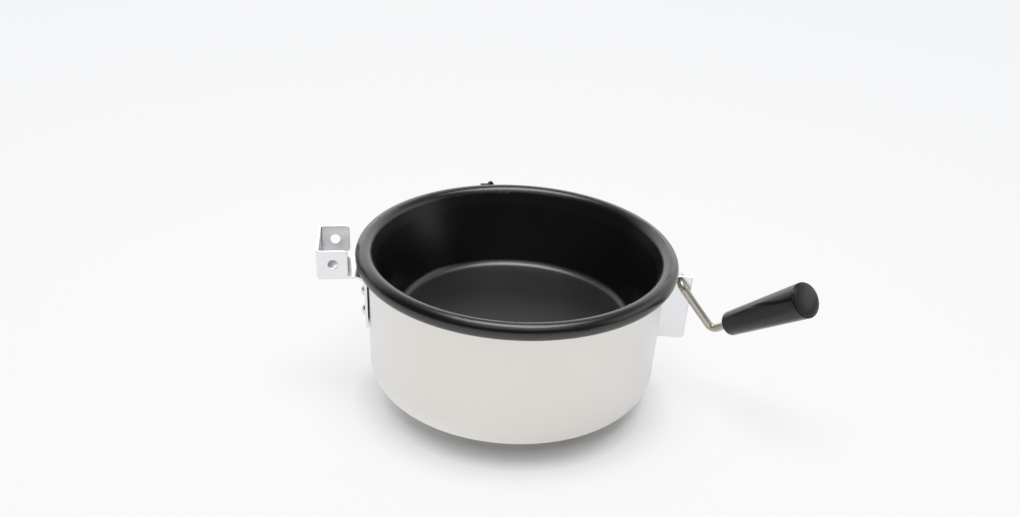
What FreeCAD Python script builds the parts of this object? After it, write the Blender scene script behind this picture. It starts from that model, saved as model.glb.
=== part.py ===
"""Tilting popcorn kettle: a heated non-stick pan in a drawn shell, hung by a clevis and tipped by a lever.

The frame has +Z up and its origin at the centre of the shell's base. The clevis stands out along -X,
the lever's bracket along +X, and the electrical inlet is at the back, towards +Y. Lengths are millimetres.
"""
import FreeCAD, Part
import math
import os

import Sketcher
from FreeCAD import Placement, Rotation, Vector

doc = FreeCAD.newDocument("popcorn_kettle")
sheet = doc.addObject("Spreadsheet::Sheet", "Sizes")


# ---------------------------------------------------------------- driving sizes
class Size:
    """A number together with the spreadsheet expression it comes from."""

    def __init__(self, text, value):
        self.text = text
        self.value = float(value)

    def __add__(self, other):
        other = plain(other)
        return Size(f"({self.text} + {other.text})", self.value + other.value)

    def __sub__(self, other):
        other = plain(other)
        return Size(f"({self.text} - {other.text})", self.value - other.value)

    def __mul__(self, other):
        other = plain(other)
        return Size(f"({self.text} * {other.text})", self.value * other.value)

    def __truediv__(self, other):
        other = plain(other)
        return Size(f"({self.text} / {other.text})", self.value / other.value)

    def __neg__(self):
        return Size(f"(0 - {self.text})", -self.value)

    __radd__ = __add__

    def __rsub__(self, other):
        return plain(other) - self

    def __rmul__(self, other):
        return self * other


def plain(number):
    """Any number as a Size."""
    if isinstance(number, Size):
        return number
    return Size(f"{float(number):.6f}", number)


def sine(angle):
    return Size(f"sin({angle.text})", math.sin(math.radians(angle.value)))


def cosine(angle):
    return Size(f"cos({angle.text})", math.cos(math.radians(angle.value)))


def tangent(angle):
    return Size(f"tan({angle.text})", math.tan(math.radians(angle.value)))


def root(number):
    return Size(f"sqrt({number.text})", math.sqrt(number.value))


rows = []


def size(name, value, note):
    """A driving size: one row of the spreadsheet, with its name as the cell's alias."""
    rows.append(name)
    row = len(rows)
    sheet.set(f"A{row}", name)
    sheet.set(f"B{row}", f"{float(value):g}")
    sheet.set(f"C{row}", note)
    sheet.setAlias(f"B{row}", name)
    return Size(f"Sizes.{name}", value)


# rolled rim and pan
rim_radius = size("rim_radius", 113.5, "centre circle of the rolled rim")
bead_radius = size("bead_radius", 6.5, "outside radius of the rolled rim's section")
rim_height = size("rim_height", 105.4, "height of the rolled rim's centre over the base")
pan_wall = size("pan_wall", 1.5, "sheet thickness of the pan")
pan_floor_height = size("pan_floor_height", 54.6, "height of the cooking floor over the base")
pan_wall_angle = size("pan_wall_angle", 20.4, "slope of the pan's wall from the vertical, degrees")
pan_corner_radius = size("pan_corner_radius", 7.0, "inside radius between floor and wall")

# shell
shell_wall = size("shell_wall", 0.8, "sheet thickness of the shell")
shell_inset = size("shell_inset", 2.1, "shell's wall inside the rim's centre circle")
shell_draft = size("shell_draft", 5.4, "how much narrower the shell is at its base")
shell_corner_radius = size("shell_corner_radius", 22.0, "outside radius between base and wall")
shell_hook = size("shell_hook", 3.8, "shell's edge above the centre of the rolled rim")

# clearances
seat_gap = size("seat_gap", 0.1, "between a curved sheet and what it is riveted to")
pin_gap = size("pin_gap", 0.05, "radial clearance of a stud, screw or rivet in its hole")
running_gap = size("running_gap", 0.06, "radial clearance of a turning fit")
end_play = size("end_play", 0.3, "axial clearance of a turning piece")

# brackets and rivets
sheet_thickness = size("sheet_thickness", 2.0, "sheet of the brackets and backing plates")
rivet_radius = size("rivet_radius", 2.5, "shank of a rivet")
rivet_head_radius = size("rivet_head_radius", 4.9, "domed head of a rivet")
rivet_head_height = size("rivet_head_height", 3.4, "height of a rivet's domed head")
rivet_tail_radius = size("rivet_tail_radius", 3.8, "upset tail of a rivet")
rivet_tail_height = size("rivet_tail_height", 1.8, "height of a rivet's upset tail")
backing_arc = size("backing_arc", 19.0, "arc covered by a backing plate, degrees")
backing_margin = size("backing_margin", 7.0, "backing plate beyond the rivets, up and down")

# hinge bracket, measured up the wall and out from it
plate_width = size("plate_width", 33.0, "width of the riveted plate and of the shelf")
plate_foot_drop = size("plate_foot_drop", 48.5, "plate's lower edge below the rim's centre")
plate_top_drop = size("plate_top_drop", 14.1, "where the plate starts to bend outwards, below the rim's centre")
bend_radius = size("bend_radius", 7.0, "inside radius of the bend from plate to shelf")
fold_radius = size("fold_radius", 1.0, "inside radius of the sharp folds")
web_reach = size("web_reach", 36.1, "outer face of the web from the wall")
web_width = size("web_width", 44.5, "width over the two ears")
ear_rise = size("ear_rise", 18.4, "ears' upper edge above the rim's centre")
ear_gap = size("ear_gap", 2.2, "ears' lower edge above the shelf")
ear_length = size("ear_length", 23.0, "length of an ear with the web's thickness")
ear_corner_radius = size("ear_corner_radius", 3.0, "corners of the ears' free end")
pin_hole_radius = size("pin_hole_radius", 3.75, "hole for the machine's hanging pin")
pin_hole_offset = size("pin_hole_offset", 0.7, "that hole beyond the middle of the ear, away from the web")
hinge_rivet_drop = size("hinge_rivet_drop", 41.5, "lower hinge rivet below the rim's centre")
hinge_rivet_pitch = size("hinge_rivet_pitch", 16.2, "distance between the hinge rivets")
wall_hole_depth = size("wall_hole_depth", 12.0, "depth over which the rivets' holes are bored")

# handle bracket, measured up the wall and out from it
flange_arc = size("flange_arc", 15.0, "arc of the handle bracket's flange, degrees")
blade_foot_drop = size("blade_foot_drop", 58.9, "blade's lower edge below the rim's centre")
blade_top_drop = size("blade_top_drop", 6.8, "blade's upper edge below the rim's centre")
blade_reach = size("blade_reach", 22.5, "blade's outer edge from the wall")
blade_corner_radius = size("blade_corner_radius", 3.0, "blade's lower outer corner")
lip_depth = size("lip_depth", 8.0, "stiffening lip folded back from the blade's outer edge")
blade_rivet_drop = size("blade_rivet_drop", 44.4, "lower rivet of the handle bracket below the rim's centre")
blade_rivet_pitch = size("blade_rivet_pitch", 24.0, "distance between the handle bracket's rivets")
blade_rivet_turn = size("blade_rivet_turn", 8.5, "direction of the handle bracket's rivets, degrees")

# lever
pivot_lift = size("pivot_lift", 13.35, "lever's pivot out from the wall")
pivot_drop = size("pivot_drop", 11.3, "lever's pivot below the rim's centre, up the wall")
rod_radius = size("rod_radius", 3.0, "radius of the lever's rod")
journal_radius = size("journal_radius", 2.5, "turned down ends of the rod")
rod_bend_radius = size("rod_bend_radius", 4.5, "centre line radius of the rod's bends")
shoulder_run = size("shoulder_run", 1.2, "straight rod between the pivot's shoulder and the first bend")
arm_length = size("arm_length", 45.2, "arm from the pivot's axis to the second bend")
arm_angle = size("arm_angle", 54.05, "arm below the horizontal, degrees")
grip_turn = size("grip_turn", 49.8, "grip's direction in plan, from the bracket towards the front, degrees")
grip_rise = size("grip_rise", 36.3, "grip's slope above the horizontal, degrees")
grip_start = size("grip_start", 20.2, "from the second bend to the grip")
washer_thickness = size("washer_thickness", 1.0, "plain washers")
washer_margin = size("washer_margin", 2.0, "plain washer beyond its hole")
spring_washer_thickness = size("spring_washer_thickness", 1.3, "split spring washer")
small_nut_flats = size("small_nut_flats", 8.0, "width across the flats of the lever's nuts")
small_nut_height = size("small_nut_height", 4.7, "height of the lever's nuts")
thread_show = size("thread_show", 1.5, "thread standing out of a nut")

# grip
grip_length = size("grip_length", 81.6, "length of the grip")
grip_small_radius = size("grip_small_radius", 9.25, "radius of the grip's narrow end")
grip_big_radius = size("grip_big_radius", 13.5, "radius of the grip's wide end")
grip_small_edge = size("grip_small_edge", 2.6, "rounding of the grip's narrow end")
grip_big_edge = size("grip_big_edge", 0.6, "rounding of the grip's wide end")
nut_pocket_radius = size("nut_pocket_radius", 7.0, "pocket for the nut inside the grip")
nut_pocket_depth = size("nut_pocket_depth", 24.0, "depth of that pocket from the wide end")
cap_seat_radius = size("cap_seat_radius", 12.4, "recess for the cap in the wide end")
cap_seat_depth = size("cap_seat_depth", 3.0, "depth of the cap's recess")
cap_thickness = size("cap_thickness", 2.2, "thickness of the cap's edge")
cap_crown = size("cap_crown", 1.3, "how far the cap's middle stands above its edge")
cap_spigot_depth = size("cap_spigot_depth", 4.0, "spigot of the cap in the nut pocket")
stop_ring_radius = size("stop_ring_radius", 4.6, "ring on the rod inside the narrow end")
stop_ring_thickness = size("stop_ring_thickness", 1.2, "thickness of that ring")
stop_ring_depth = size("stop_ring_depth", 2.4, "depth of the recess that holds the ring")

# heater
heat_plate_margin = size("heat_plate_margin", 32.0, "edge of the heat plate inside the shell's base")
heat_plate_thickness = size("heat_plate_thickness", 4.0, "thickness of that plate")
element_margin = size("element_margin", 20.0, "heating element's centre circle inside the heat plate's edge")
element_tube_radius = size("element_tube_radius", 3.5, "tube radius of the heating element")
element_gap = size("element_gap", 38.0, "arc left open by the heating element, degrees")
element_tail = size("element_tail", 8.0, "straight cold end below the element's bend")
element_bend_radius = size("element_bend_radius", 7.0, "bend from the circle to a cold end")
cover_sheet = size("cover_sheet", 1.2, "sheet of the element cover")
cover_margin = size("cover_margin", 8.0, "element cover inside the heat plate's edge")
cover_slot_radius = size("cover_slot_radius", 5.8, "hole in the cover for a cold end")
cover_slot_shift = size("cover_slot_shift", 5.2, "middle of that hole beyond the end of the element's circle")
stud_radius = size("stud_radius", 3.0, "stud under the pan and post of the heat shield")
nut_flats = size("nut_flats", 10.0, "width across the flats of the stud's nuts")
nut_height = size("nut_height", 5.0, "height of the stud's nuts")
stud_washer_radius = size("stud_washer_radius", 6.0, "outside radius of the stud's washer")
mat_gap = size("mat_gap", 0.5, "between the insulation mat and the spacer")
screw_show = size("screw_show", 0.7, "small screw standing out of the sheet it is driven through")
shield_height = size("shield_height", 15.0, "underside of the heat shield over the base")
shield_margin = size("shield_margin", 14.0, "edge of the heat shield inside the shell's base")
shield_sheet = size("shield_sheet", 0.8, "sheet of the heat shield")
mat_margin = size("mat_margin", 2.0, "edge of the insulation mat inside the flat of the shell's base")
spacer_radius = size("spacer_radius", 5.5, "outside radius of the spacer under the heat shield")

# controls and wiring
control_reach = size("control_reach", 36.0, "thermostat and cut-out from the kettle's axis")
thermostat_turn = size("thermostat_turn", 205.0, "direction of the thermostat, degrees")
thermostat_radius = size("thermostat_radius", 8.0, "radius of the thermostat's body")
thermostat_height = size("thermostat_height", 9.0, "height of the thermostat's body")
thermostat_ear = size("thermostat_ear", 12.0, "screw of the thermostat from its centre")
thermostat_flange = size("thermostat_flange", 1.5, "thickness of the thermostat's flange")
cutout_turn = size("cutout_turn", 330.0, "direction of the thermal cut-out, degrees")
cutout_radius = size("cutout_radius", 3.0, "radius of the thermal cut-out")
cutout_length = size("cutout_length", 16.0, "length of the thermal cut-out")
clip_sheet = size("clip_sheet", 0.8, "sheet of the cut-out's clip")
small_screw_radius = size("small_screw_radius", 1.5, "shank of the small screws")
small_head_radius = size("small_head_radius", 2.8, "head of the small screws")
small_head_height = size("small_head_height", 1.8, "head height of the small screws")
block_gap = size("block_gap", 25.0, "middle of the terminal block inside the leads' drop")
block_length = size("block_length", 34.0, "length of the terminal block")
block_depth = size("block_depth", 16.0, "depth of the terminal block")
block_height = size("block_height", 12.0, "height of the terminal block")
block_bore = size("block_bore", 2.0, "wire bore of the terminal block")
block_bore_height = size("block_bore_height", 5.0, "wire bore above the block's foot")
lead_radius = size("lead_radius", 1.4, "radius of an insulated lead")
lead_bend_radius = size("lead_bend_radius", 4.0, "bend of a lead")
earth_screw_gap = size("earth_screw_gap", 22.0, "earth screw inside the middle of the terminal block")
lead_drop_gap = size("lead_drop_gap", 3.1, "leads' drop inside the inlet's box, out from the shell's mouth")
lead_inner_gap = size("lead_inner_gap", 7.0, "leads' drop inside the shell's base")
lead_spread = size("lead_spread", 3.4, "distance between the leads in the grommet")
grommet_drop = size("grommet_drop", 52.9, "grommet in the shell below the rim's centre")
grommet_bore = size("grommet_bore", 6.0, "hole of the grommet")
grommet_hole = size("grommet_hole", 8.0, "hole in the shell for the grommet")
grommet_radius = size("grommet_radius", 10.0, "outside radius of the grommet")
grommet_lip = size("grommet_lip", 1.6, "thickness of each lip of the grommet")
grommet_slack = size("grommet_slack", 0.5, "room in the grommet's groove beside the shell")

# inlet
inlet_turn = size("inlet_turn", 97.0, "direction of the inlet, degrees")
inlet_centre_drop = size("inlet_centre_drop", 26.4, "socket's middle below the rim's centre")
inlet_box_width = size("inlet_box_width", 34.0, "width of the inlet's box")
inlet_box_foot_drop = size("inlet_box_foot_drop", 65.4, "box's underside below the rim's centre")
inlet_box_top_drop = size("inlet_box_top_drop", 9.9, "box's top below the rim's centre")
inlet_depth = size("inlet_depth", 30.1, "outer face of the inlet's box out from the shell's mouth")
inlet_sheet = size("inlet_sheet", 1.0, "sheet of the inlet's box")
foot_arc = size("foot_arc", 29.0, "arc covered by the box's riveted feet, degrees")
foot_rivet_turn = size("foot_rivet_turn", 11.8, "rivets of the feet beside the box's middle, degrees")
foot_rivet_drop = size("foot_rivet_drop", 49.4, "lower rivets of the feet below the rim's centre, up the wall")
foot_rivet_pitch = size("foot_rivet_pitch", 34.0, "distance between the rivets of a foot")
tab_width = size("tab_width", 6.2, "tab on top of the inlet's box")
tab_drop = size("tab_drop", 3.9, "that tab's end below the rim's centre")
key_width = size("key_width", 4.9, "keying rib on top of the inlet's flange")
key_root = size("key_root", 1.5, "how far the keying rib runs down into the flange")
key_drop = size("key_drop", 3.5, "keying rib's end below the rim's centre")
socket_width = size("socket_width", 27.0, "outside width of the socket")
socket_height = size("socket_height", 20.0, "outside height of the socket")
socket_wall = size("socket_wall", 2.2, "wall of the socket")
socket_depth = size("socket_depth", 15.0, "depth of the socket")
socket_floor = size("socket_floor", 3.5, "thickness of the socket's floor")
flange_width = size("flange_width", 32.0, "width of the inlet's flange")
flange_height = size("flange_height", 33.0, "height of the inlet's flange")
flange_thickness = size("flange_thickness", 2.5, "thickness of the inlet's flange")
flange_screw = size("flange_screw", 13.2, "inlet screws above and below the socket's middle")
inlet_pin_radius = size("inlet_pin_radius", 1.6, "radius of an inlet pin")
inlet_pin_length = size("inlet_pin_length", 12.0, "length of a pin in the socket")
inlet_pin_tail = size("inlet_pin_tail", 6.0, "length of a pin behind the socket's floor")
inlet_pin_pitch = size("inlet_pin_pitch", 7.0, "distance between neighbouring pins")
inlet_pin_drop = size("inlet_pin_drop", 2.5, "pins below the socket's middle")
doc.recompute()

# ---------------------------------------------------------------- derived sizes
ZERO = plain(0)
curl_inside = bead_radius - pan_wall
shell_mouth = rim_radius - shell_inset
shell_floor_radius = shell_mouth - shell_draft
shell_top = rim_height + shell_hook
plate_foot = rim_height - plate_foot_drop
plate_top = rim_height - plate_top_drop
ear_top = rim_height + ear_rise
hinge_rivet_low = rim_height - hinge_rivet_drop
blade_foot = rim_height - blade_foot_drop
blade_top = rim_height - blade_top_drop
blade_rivet_low = rim_height - blade_rivet_drop
pivot_rise = rim_height - pivot_drop
grommet_height = rim_height - grommet_drop
inlet_centre_height = rim_height - inlet_centre_drop
inlet_box_foot = rim_height - inlet_box_foot_drop
inlet_box_top = rim_height - inlet_box_top_drop
foot_rivet_low = rim_height - foot_rivet_drop
tab_top = rim_height - tab_drop
key_top = rim_height - key_drop
inlet_reach = shell_mouth + inlet_depth
lead_drop_reach = shell_mouth + lead_drop_gap
lead_inner_reach = shell_floor_radius - lead_inner_gap
block_reach = lead_inner_reach - block_gap
earth_screw_reach = block_reach - earth_screw_gap
heat_plate_radius = shell_floor_radius - heat_plate_margin
element_radius = heat_plate_radius - element_margin
cover_radius = heat_plate_radius - cover_margin
shield_radius = shell_floor_radius - shield_margin
mat_radius = shell_floor_radius - shell_corner_radius - mat_margin
pan_underside = pan_floor_height - pan_wall
heat_plate_underside = pan_underside - heat_plate_thickness
cover_top = heat_plate_underside - element_tube_radius * 2
cover_underside = cover_top - cover_sheet
draft_angle = Size(f"atan({(shell_draft / rim_height).text})",
                   math.degrees(math.atan(shell_draft.value / rim_height.value)))
wall_reach = shell_floor_radius * cosine(draft_angle)
web_face = wall_reach + web_reach
washer_outside = journal_radius + washer_margin
shelf_top = plate_top + bend_radius + sheet_thickness
ear_foot = shelf_top + ear_gap
flange_face = inlet_reach + flange_thickness
socket_back = flange_face - socket_depth - socket_floor
pin_hole_reach = web_face - ear_length / 2 - pin_hole_offset
pin_hole_height = (ear_foot + ear_top) / 2
hinge_rivet_rises = (hinge_rivet_low, hinge_rivet_low + hinge_rivet_pitch)
blade_rivet_rises = (blade_rivet_low, blade_rivet_low + blade_rivet_pitch)
foot_rivet_rises = (foot_rivet_low, foot_rivet_low + foot_rivet_pitch)
pivot_stack = end_play + sheet_thickness + washer_thickness + spring_washer_thickness + small_nut_height
rod_shoulder = grip_start + grip_length - nut_pocket_depth + end_play
element_height = heat_plate_underside - element_tube_radius
half_gap = element_gap / 2
tail_foot = element_height - element_bend_radius - element_tail
cutout_height = cover_underside - cutout_radius - seat_gap
shield_top = shield_height + shield_sheet
cover_nut_foot = cover_underside - washer_thickness - nut_height


def shell_radius(height):
    """Outside radius of the shell's wall at a height."""
    return shell_floor_radius + shell_draft * height / rim_height


def wall_point(lift, height):
    """Reach and height of a point, given its distance out from the shell's wall and its rise up the wall."""
    reach = wall_reach + lift
    return (reach * cosine(draft_angle) + height * sine(draft_angle),
            height * cosine(draft_angle) - reach * sine(draft_angle))


def up_wall(height):
    """Rise up the shell's wall of a point on it, given its height over the base."""
    return shell_radius(height) * sine(draft_angle) + height * cosine(draft_angle)


pivot_reach, pivot_height = wall_point(pivot_lift, pivot_rise)


def beyond_element(shift):
    """A point beyond the end of the element's circle, along its end: distance out and to the side."""
    return (element_radius * cosine(half_gap) + sine(half_gap) * shift,
            element_radius * sine(half_gap) - cosine(half_gap) * shift)


tail_reach, tail_side = beyond_element(element_bend_radius)
slot_reach, slot_side = beyond_element(cover_slot_shift)


# ---------------------------------------------------------------- building helpers
def new_body(label):
    body = doc.addObject("PartDesign::Body", label)
    body.Label = label
    body.AllowCompound = True
    return body


def plane_of(body, role):
    for feature in body.Origin.OriginFeatures:
        if feature.Role == role:
            return feature
    raise ValueError(role)


def new_sketch(body, role, name, offset=None):
    """A sketch on one of the body's own origin planes, moved along the plane's normal by offset."""
    sketch = body.newObject("Sketcher::SketchObject", name)
    sketch.AttachmentSupport = [(plane_of(body, role), "")]
    sketch.MapMode = "FlatFace"
    if offset is not None:
        sketch.setExpression("AttachmentOffset.Base.z", offset.text)
    return sketch


def bind(sketch, constraint, dimension):
    index = sketch.addConstraint(constraint)
    sketch.setExpression(f"Constraints[{index}]", dimension.text)


def pin_point(sketch, geometry, position, x, y):
    """Fix a point of the sketch at its two coordinates."""
    bind(sketch, Sketcher.Constraint("DistanceX", -1, 1, geometry, position, x.value), x)
    bind(sketch, Sketcher.Constraint("DistanceY", -1, 1, geometry, position, y.value), y)


def arc_middle(start, end, radius, turn):
    """The middle of the short arc from start to end: turn +1 runs counter-clockwise, -1 clockwise."""
    chord = end - start
    middle = (start + end) * 0.5
    left = Vector(-chord.y, chord.x, 0).normalize() * turn
    rise = math.sqrt(max(radius ** 2 - (chord.Length / 2) ** 2, 0.0))
    return middle + left * (rise - radius)


def outline(sketch, corners, arcs=None):
    """A closed outline. arcs maps a side's index to (radius, turn); every other side is straight."""
    arcs = arcs or {}
    corners = [(plain(x), plain(y)) for x, y in corners]
    points = [Vector(x.value, y.value, 0) for x, y in corners]
    ends = []
    for index, start in enumerate(points):
        end = points[(index + 1) % len(points)]
        if index in arcs:
            radius, turn = arcs[index]
            middle = arc_middle(start, end, plain(radius).value, turn)
            geometry = sketch.addGeometry(Part.Arc(start, middle, end), False)
            first, last = (1, 2) if turn > 0 else (2, 1)
        else:
            geometry = sketch.addGeometry(Part.LineSegment(start, end), False)
            first, last = 1, 2
        ends.append((geometry, first, last))
    for index, (geometry, first, _) in enumerate(ends):
        previous, _, last = ends[index - 1]
        sketch.addConstraint(Sketcher.Constraint("Coincident", previous, last, geometry, first))
        pin_point(sketch, geometry, first, *corners[index])
    for index, (radius, _) in arcs.items():
        radius = plain(radius)
        bind(sketch, Sketcher.Constraint("Radius", ends[index][0], radius.value), radius)


def box_outline(sketch, low_x, high_x, low_y, high_y):
    outline(sketch, [(low_x, low_y), (high_x, low_y), (high_x, high_y), (low_x, high_y)])


def circle(sketch, x, y, radius):
    x, y, radius = plain(x), plain(y), plain(radius)
    shape = Part.Circle(Vector(x.value, y.value, 0), Vector(0, 0, 1), radius.value)
    geometry = sketch.addGeometry(shape, False)
    bind(sketch, Sketcher.Constraint("Radius", geometry, radius.value), radius)
    pin_point(sketch, geometry, 3, x, y)


def hexagon(sketch, flats):
    """A hexagon about the sketch's origin, given its width across the flats."""
    corner = flats / root(plain(3))
    half = flats / 2
    outline(sketch, [(corner, ZERO), (corner / 2, half), (-corner / 2, half),
                     (-corner, ZERO), (-corner / 2, -half), (corner / 2, -half)])


def pad(body, sketch, length, name, centred=False, backwards=False):
    feature = body.newObject("PartDesign::Pad", name)
    feature.Profile = sketch
    feature.setExpression("Length", plain(length).text)
    feature.SideType = "Symmetric" if centred else "One side"
    feature.Reversed = backwards
    doc.recompute()
    return feature


def pocket(body, sketch, name, length=None, centred=False, backwards=False):
    """Cut the sketch's outline: right through both ways, or to a length."""
    feature = body.newObject("PartDesign::Pocket", name)
    feature.Profile = sketch
    if length is None:
        feature.Type = "ThroughAll"
        feature.SideType = "Symmetric"
    else:
        feature.setExpression("Length", plain(length).text)
        feature.SideType = "Symmetric" if centred else "One side"
        feature.Reversed = backwards
    before = feature.BaseFeature.Shape.Volume if feature.BaseFeature else None
    doc.recompute()
    if before is not None and not feature.Shape.Volume < before - 1e-6:
        raise RuntimeError(f"{name} cuts nothing")
    return feature


def revolve(body, sketch, name, angle=360, axis="V_Axis", centred=False, backwards=False):
    feature = body.newObject("PartDesign::Revolution", name)
    feature.Profile = sketch
    feature.ReferenceAxis = (sketch, [axis])
    feature.setExpression("Angle", plain(angle).text)
    feature.Midplane = centred
    feature.Reversed = backwards
    doc.recompute()
    return feature


def ring_edges(shape, radius, height, slack=0.01):
    """Names of the full or partial circles about Z that have this radius and height."""
    names = []
    for index, edge in enumerate(shape.Edges):
        curve = edge.Curve
        if not isinstance(curve, Part.Circle):
            continue
        if abs(curve.Radius - radius.value) > slack:
            continue
        if abs(curve.Center.z - height.value) < slack and abs(abs(curve.Axis.z) - 1) < 1e-6:
            names.append(f"Edge{index + 1}")
    return names


def straight_edges(shape, direction, chosen):
    """Names of the straight edges along a direction whose two ends both pass the test."""
    names = []
    for index, edge in enumerate(shape.Edges):
        if len(edge.Vertexes) != 2:
            continue
        start, end = (vertex.Point for vertex in edge.Vertexes)
        along = abs((end - start).normalize().dot(direction)) if end != start else 0
        if abs((end - start).Length - edge.Length) < 1e-6 and along > 0.99 and chosen(start) and chosen(end):
            names.append(f"Edge{index + 1}")
    return names


def fillet(body, base, names, radius, name):
    if not names:
        raise RuntimeError(f"{name} has no edge to round")
    feature = body.newObject("PartDesign::Fillet", name)
    feature.Base = (base, names)
    feature.setExpression("Radius", plain(radius).text)
    doc.recompute()
    return feature


def place(part, x=ZERO, y=ZERO, z=ZERO, rotation=Rotation()):
    """Put a sub-part at its place: the position is bound to the sheet, the direction is set."""
    part.Placement = Placement(Vector(x.value, y.value, z.value), rotation)
    for axis, length in (("x", x), ("y", y), ("z", z)):
        part.setExpression(f"Placement.Base.{axis}", length.text)


def about_z(angle):
    return Rotation(Vector(0, 0, 1), plain(angle).value)


def shape_part(label, shape):
    """A sub-part whose shape comes straight from Part functions."""
    part = doc.addObject("Part::Feature", label)
    part.Label = label
    part.Shape = shape
    return part


def pipe(points, bend, radius):
    """A round bar or wire along straight runs joined by tangent arcs of one radius."""
    edges = []
    start = points[0]
    for before, corner, after in zip(points, points[1:], points[2:]):
        inwards = (before - corner).normalize()
        outwards = (after - corner).normalize()
        opening = inwards.getAngle(outwards)
        run = bend / math.tan(opening / 2)
        bisector = (inwards + outwards).normalize()
        middle = corner + bisector * (bend / math.sin(opening / 2) - bend)
        first = corner + inwards * run
        last = corner + outwards * run
        edges.append(Part.LineSegment(start, first).toShape())
        edges.append(Part.Arc(first, middle, last).toShape())
        start = last
    edges.append(Part.LineSegment(start, points[-1]).toShape())
    path = Part.Wire(edges)
    direction = (points[1] - points[0]).normalize()
    section = Part.Wire([Part.Circle(points[0], direction, radius).toShape()])
    return path.makePipeShell([section], True, False)


def washer(label, outside, inside, thickness):
    """A flat ring that lies on its local XY plane."""
    body = new_body(label)
    sketch = new_sketch(body, "XY_Plane", f"{label}_rings")
    circle(sketch, ZERO, ZERO, outside)
    circle(sketch, ZERO, ZERO, inside)
    pad(body, sketch, thickness, f"{label}_pad")
    return body


def hex_nut(label, flats, height, bore):
    """A nut that stands on its local XY plane."""
    body = new_body(label)
    sketch = new_sketch(body, "XY_Plane", f"{label}_outline")
    hexagon(sketch, flats)
    circle(sketch, ZERO, ZERO, bore)
    pad(body, sketch, height, f"{label}_pad")
    return body


def copies(body, original, direction, length, count, name):
    """Repeat a feature in a line: count copies spread over the length."""
    feature = body.newObject("PartDesign::LinearPattern", name)
    feature.Originals = [original]
    feature.Direction = direction
    feature.setExpression("Length", plain(length).text)
    feature.Occurrences = count
    body.Tip = feature
    doc.recompute()
    return feature


def axis_of(body, role):
    return (plane_of(body, role), [""])


def wall_rotation(turn):
    """Turns the YZ plane's sketch so that its normal is the shell's outward normal at a direction."""
    return Rotation(Vector(0, 1, 0), plain(turn).value) * Rotation(Vector(1, 0, 0), draft_angle.value)


def wall_hole(body, turn, rise, radius, name):
    """A round hole square through the sheets that lie on the shell's wall."""
    turn = plain(turn)
    reach, height = wall_point(ZERO, rise)
    sketch = body.newObject("Sketcher::SketchObject", f"{name}_circle")
    sketch.AttachmentSupport = [(plane_of(body, "YZ_Plane"), "")]
    sketch.MapMode = "FlatFace"
    sketch.AttachmentOffset = Placement(Vector(0, 0, 0), wall_rotation(turn))
    sketch.setExpression("AttachmentOffset.Base.x", (reach * sine(turn)).text)
    sketch.setExpression("AttachmentOffset.Base.y", height.text)
    sketch.setExpression("AttachmentOffset.Base.z", (reach * cosine(turn)).text)
    circle(sketch, ZERO, ZERO, radius)
    return pocket(body, sketch, name, wall_hole_depth, centred=True)


def wall_rivets(label, turn, rises, sheets):
    """Two domed rivets through sheets on the shell's wall: the outer sheet, then any inner one."""
    turn = plain(turn)
    low, high = rises
    reach, height = wall_point(seat_gap + sheets[0], low)
    grip = sheets[0] + seat_gap + shell_wall + seat_gap
    for sheet_inside in sheets[1:]:
        grip = grip + seat_gap + sheet_inside
    dome = rivet_head_radius * rivet_head_radius + rivet_head_height * rivet_head_height
    body = new_body(label)
    sketch = new_sketch(body, "XZ_Plane", f"{label}_section")
    outline(sketch,
            [(rivet_head_height, ZERO), (ZERO, rivet_head_radius), (ZERO, rivet_radius), (-grip, rivet_radius),
             (-grip, rivet_tail_radius), (-grip - rivet_tail_height, rivet_tail_radius),
             (-grip - rivet_tail_height, ZERO)],
            {0: (dome / (rivet_head_height * 2), 1)})
    rivet = revolve(body, sketch, f"{label}_turned", axis="H_Axis")
    copies(body, rivet, axis_of(body, "Z_Axis"), high - low, 2, f"{label}_pair")
    place(body, reach * cosine(turn), reach * sine(turn), height,
          about_z(turn) * Rotation(Vector(0, 1, 0), draft_angle.value))
    return body


def group(label, bodies):
    """One sub-part made of several separate solids."""
    doc.recompute()
    return shape_part(label, Part.makeCompound([body.Shape for body in bodies]))


def wall_strip(sketch, low, high, inside, outside):
    """Section of a sheet that follows the shell's wall, from one rise to another, inside and outside faces."""
    outline(sketch, [wall_point(inside, low), wall_point(outside, low),
                     wall_point(outside, high), wall_point(inside, high)])


# ---------------------------------------------------------------- pan and shell
def make_inner_pan():
    """Tapered pan whose wall runs smoothly into a rolled rim."""
    body = new_body("inner_pan")
    slope = tangent(pan_wall_angle)
    lean = cosine(pan_wall_angle)
    lift = sine(pan_wall_angle)
    mouth = (rim_radius - bead_radius * lean, rim_height + bead_radius * lift)
    under = (rim_radius - curl_inside * lean, rim_height + curl_inside * lift)
    corner = mouth[0] - (mouth[1] - pan_floor_height) * slope
    under_corner = under[0] - (under[1] - pan_underside) * slope
    sketch = new_sketch(body, "XZ_Plane", "pan_section")
    outline(sketch,
            [(ZERO, pan_floor_height), (corner, pan_floor_height), mouth,
             (rim_radius, rim_height + bead_radius), (rim_radius + bead_radius, rim_height),
             (rim_radius, rim_height - bead_radius), (rim_radius, rim_height - curl_inside),
             (rim_radius + curl_inside, rim_height), (rim_radius, rim_height + curl_inside), under,
             (under_corner, pan_underside), (ZERO, pan_underside)],
            {2: (bead_radius, -1), 3: (bead_radius, -1), 4: (bead_radius, -1),
             6: (curl_inside, 1), 7: (curl_inside, 1), 8: (curl_inside, 1)})
    pan = revolve(body, sketch, "pan_turned")
    inside = fillet(body, pan, ring_edges(pan.Shape, corner, pan_floor_height),
                    pan_corner_radius, "pan_inside_corner")
    fillet(body, inside, ring_edges(inside.Shape, under_corner, pan_underside),
           pan_corner_radius + pan_wall, "pan_outside_corner")
    return body


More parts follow.
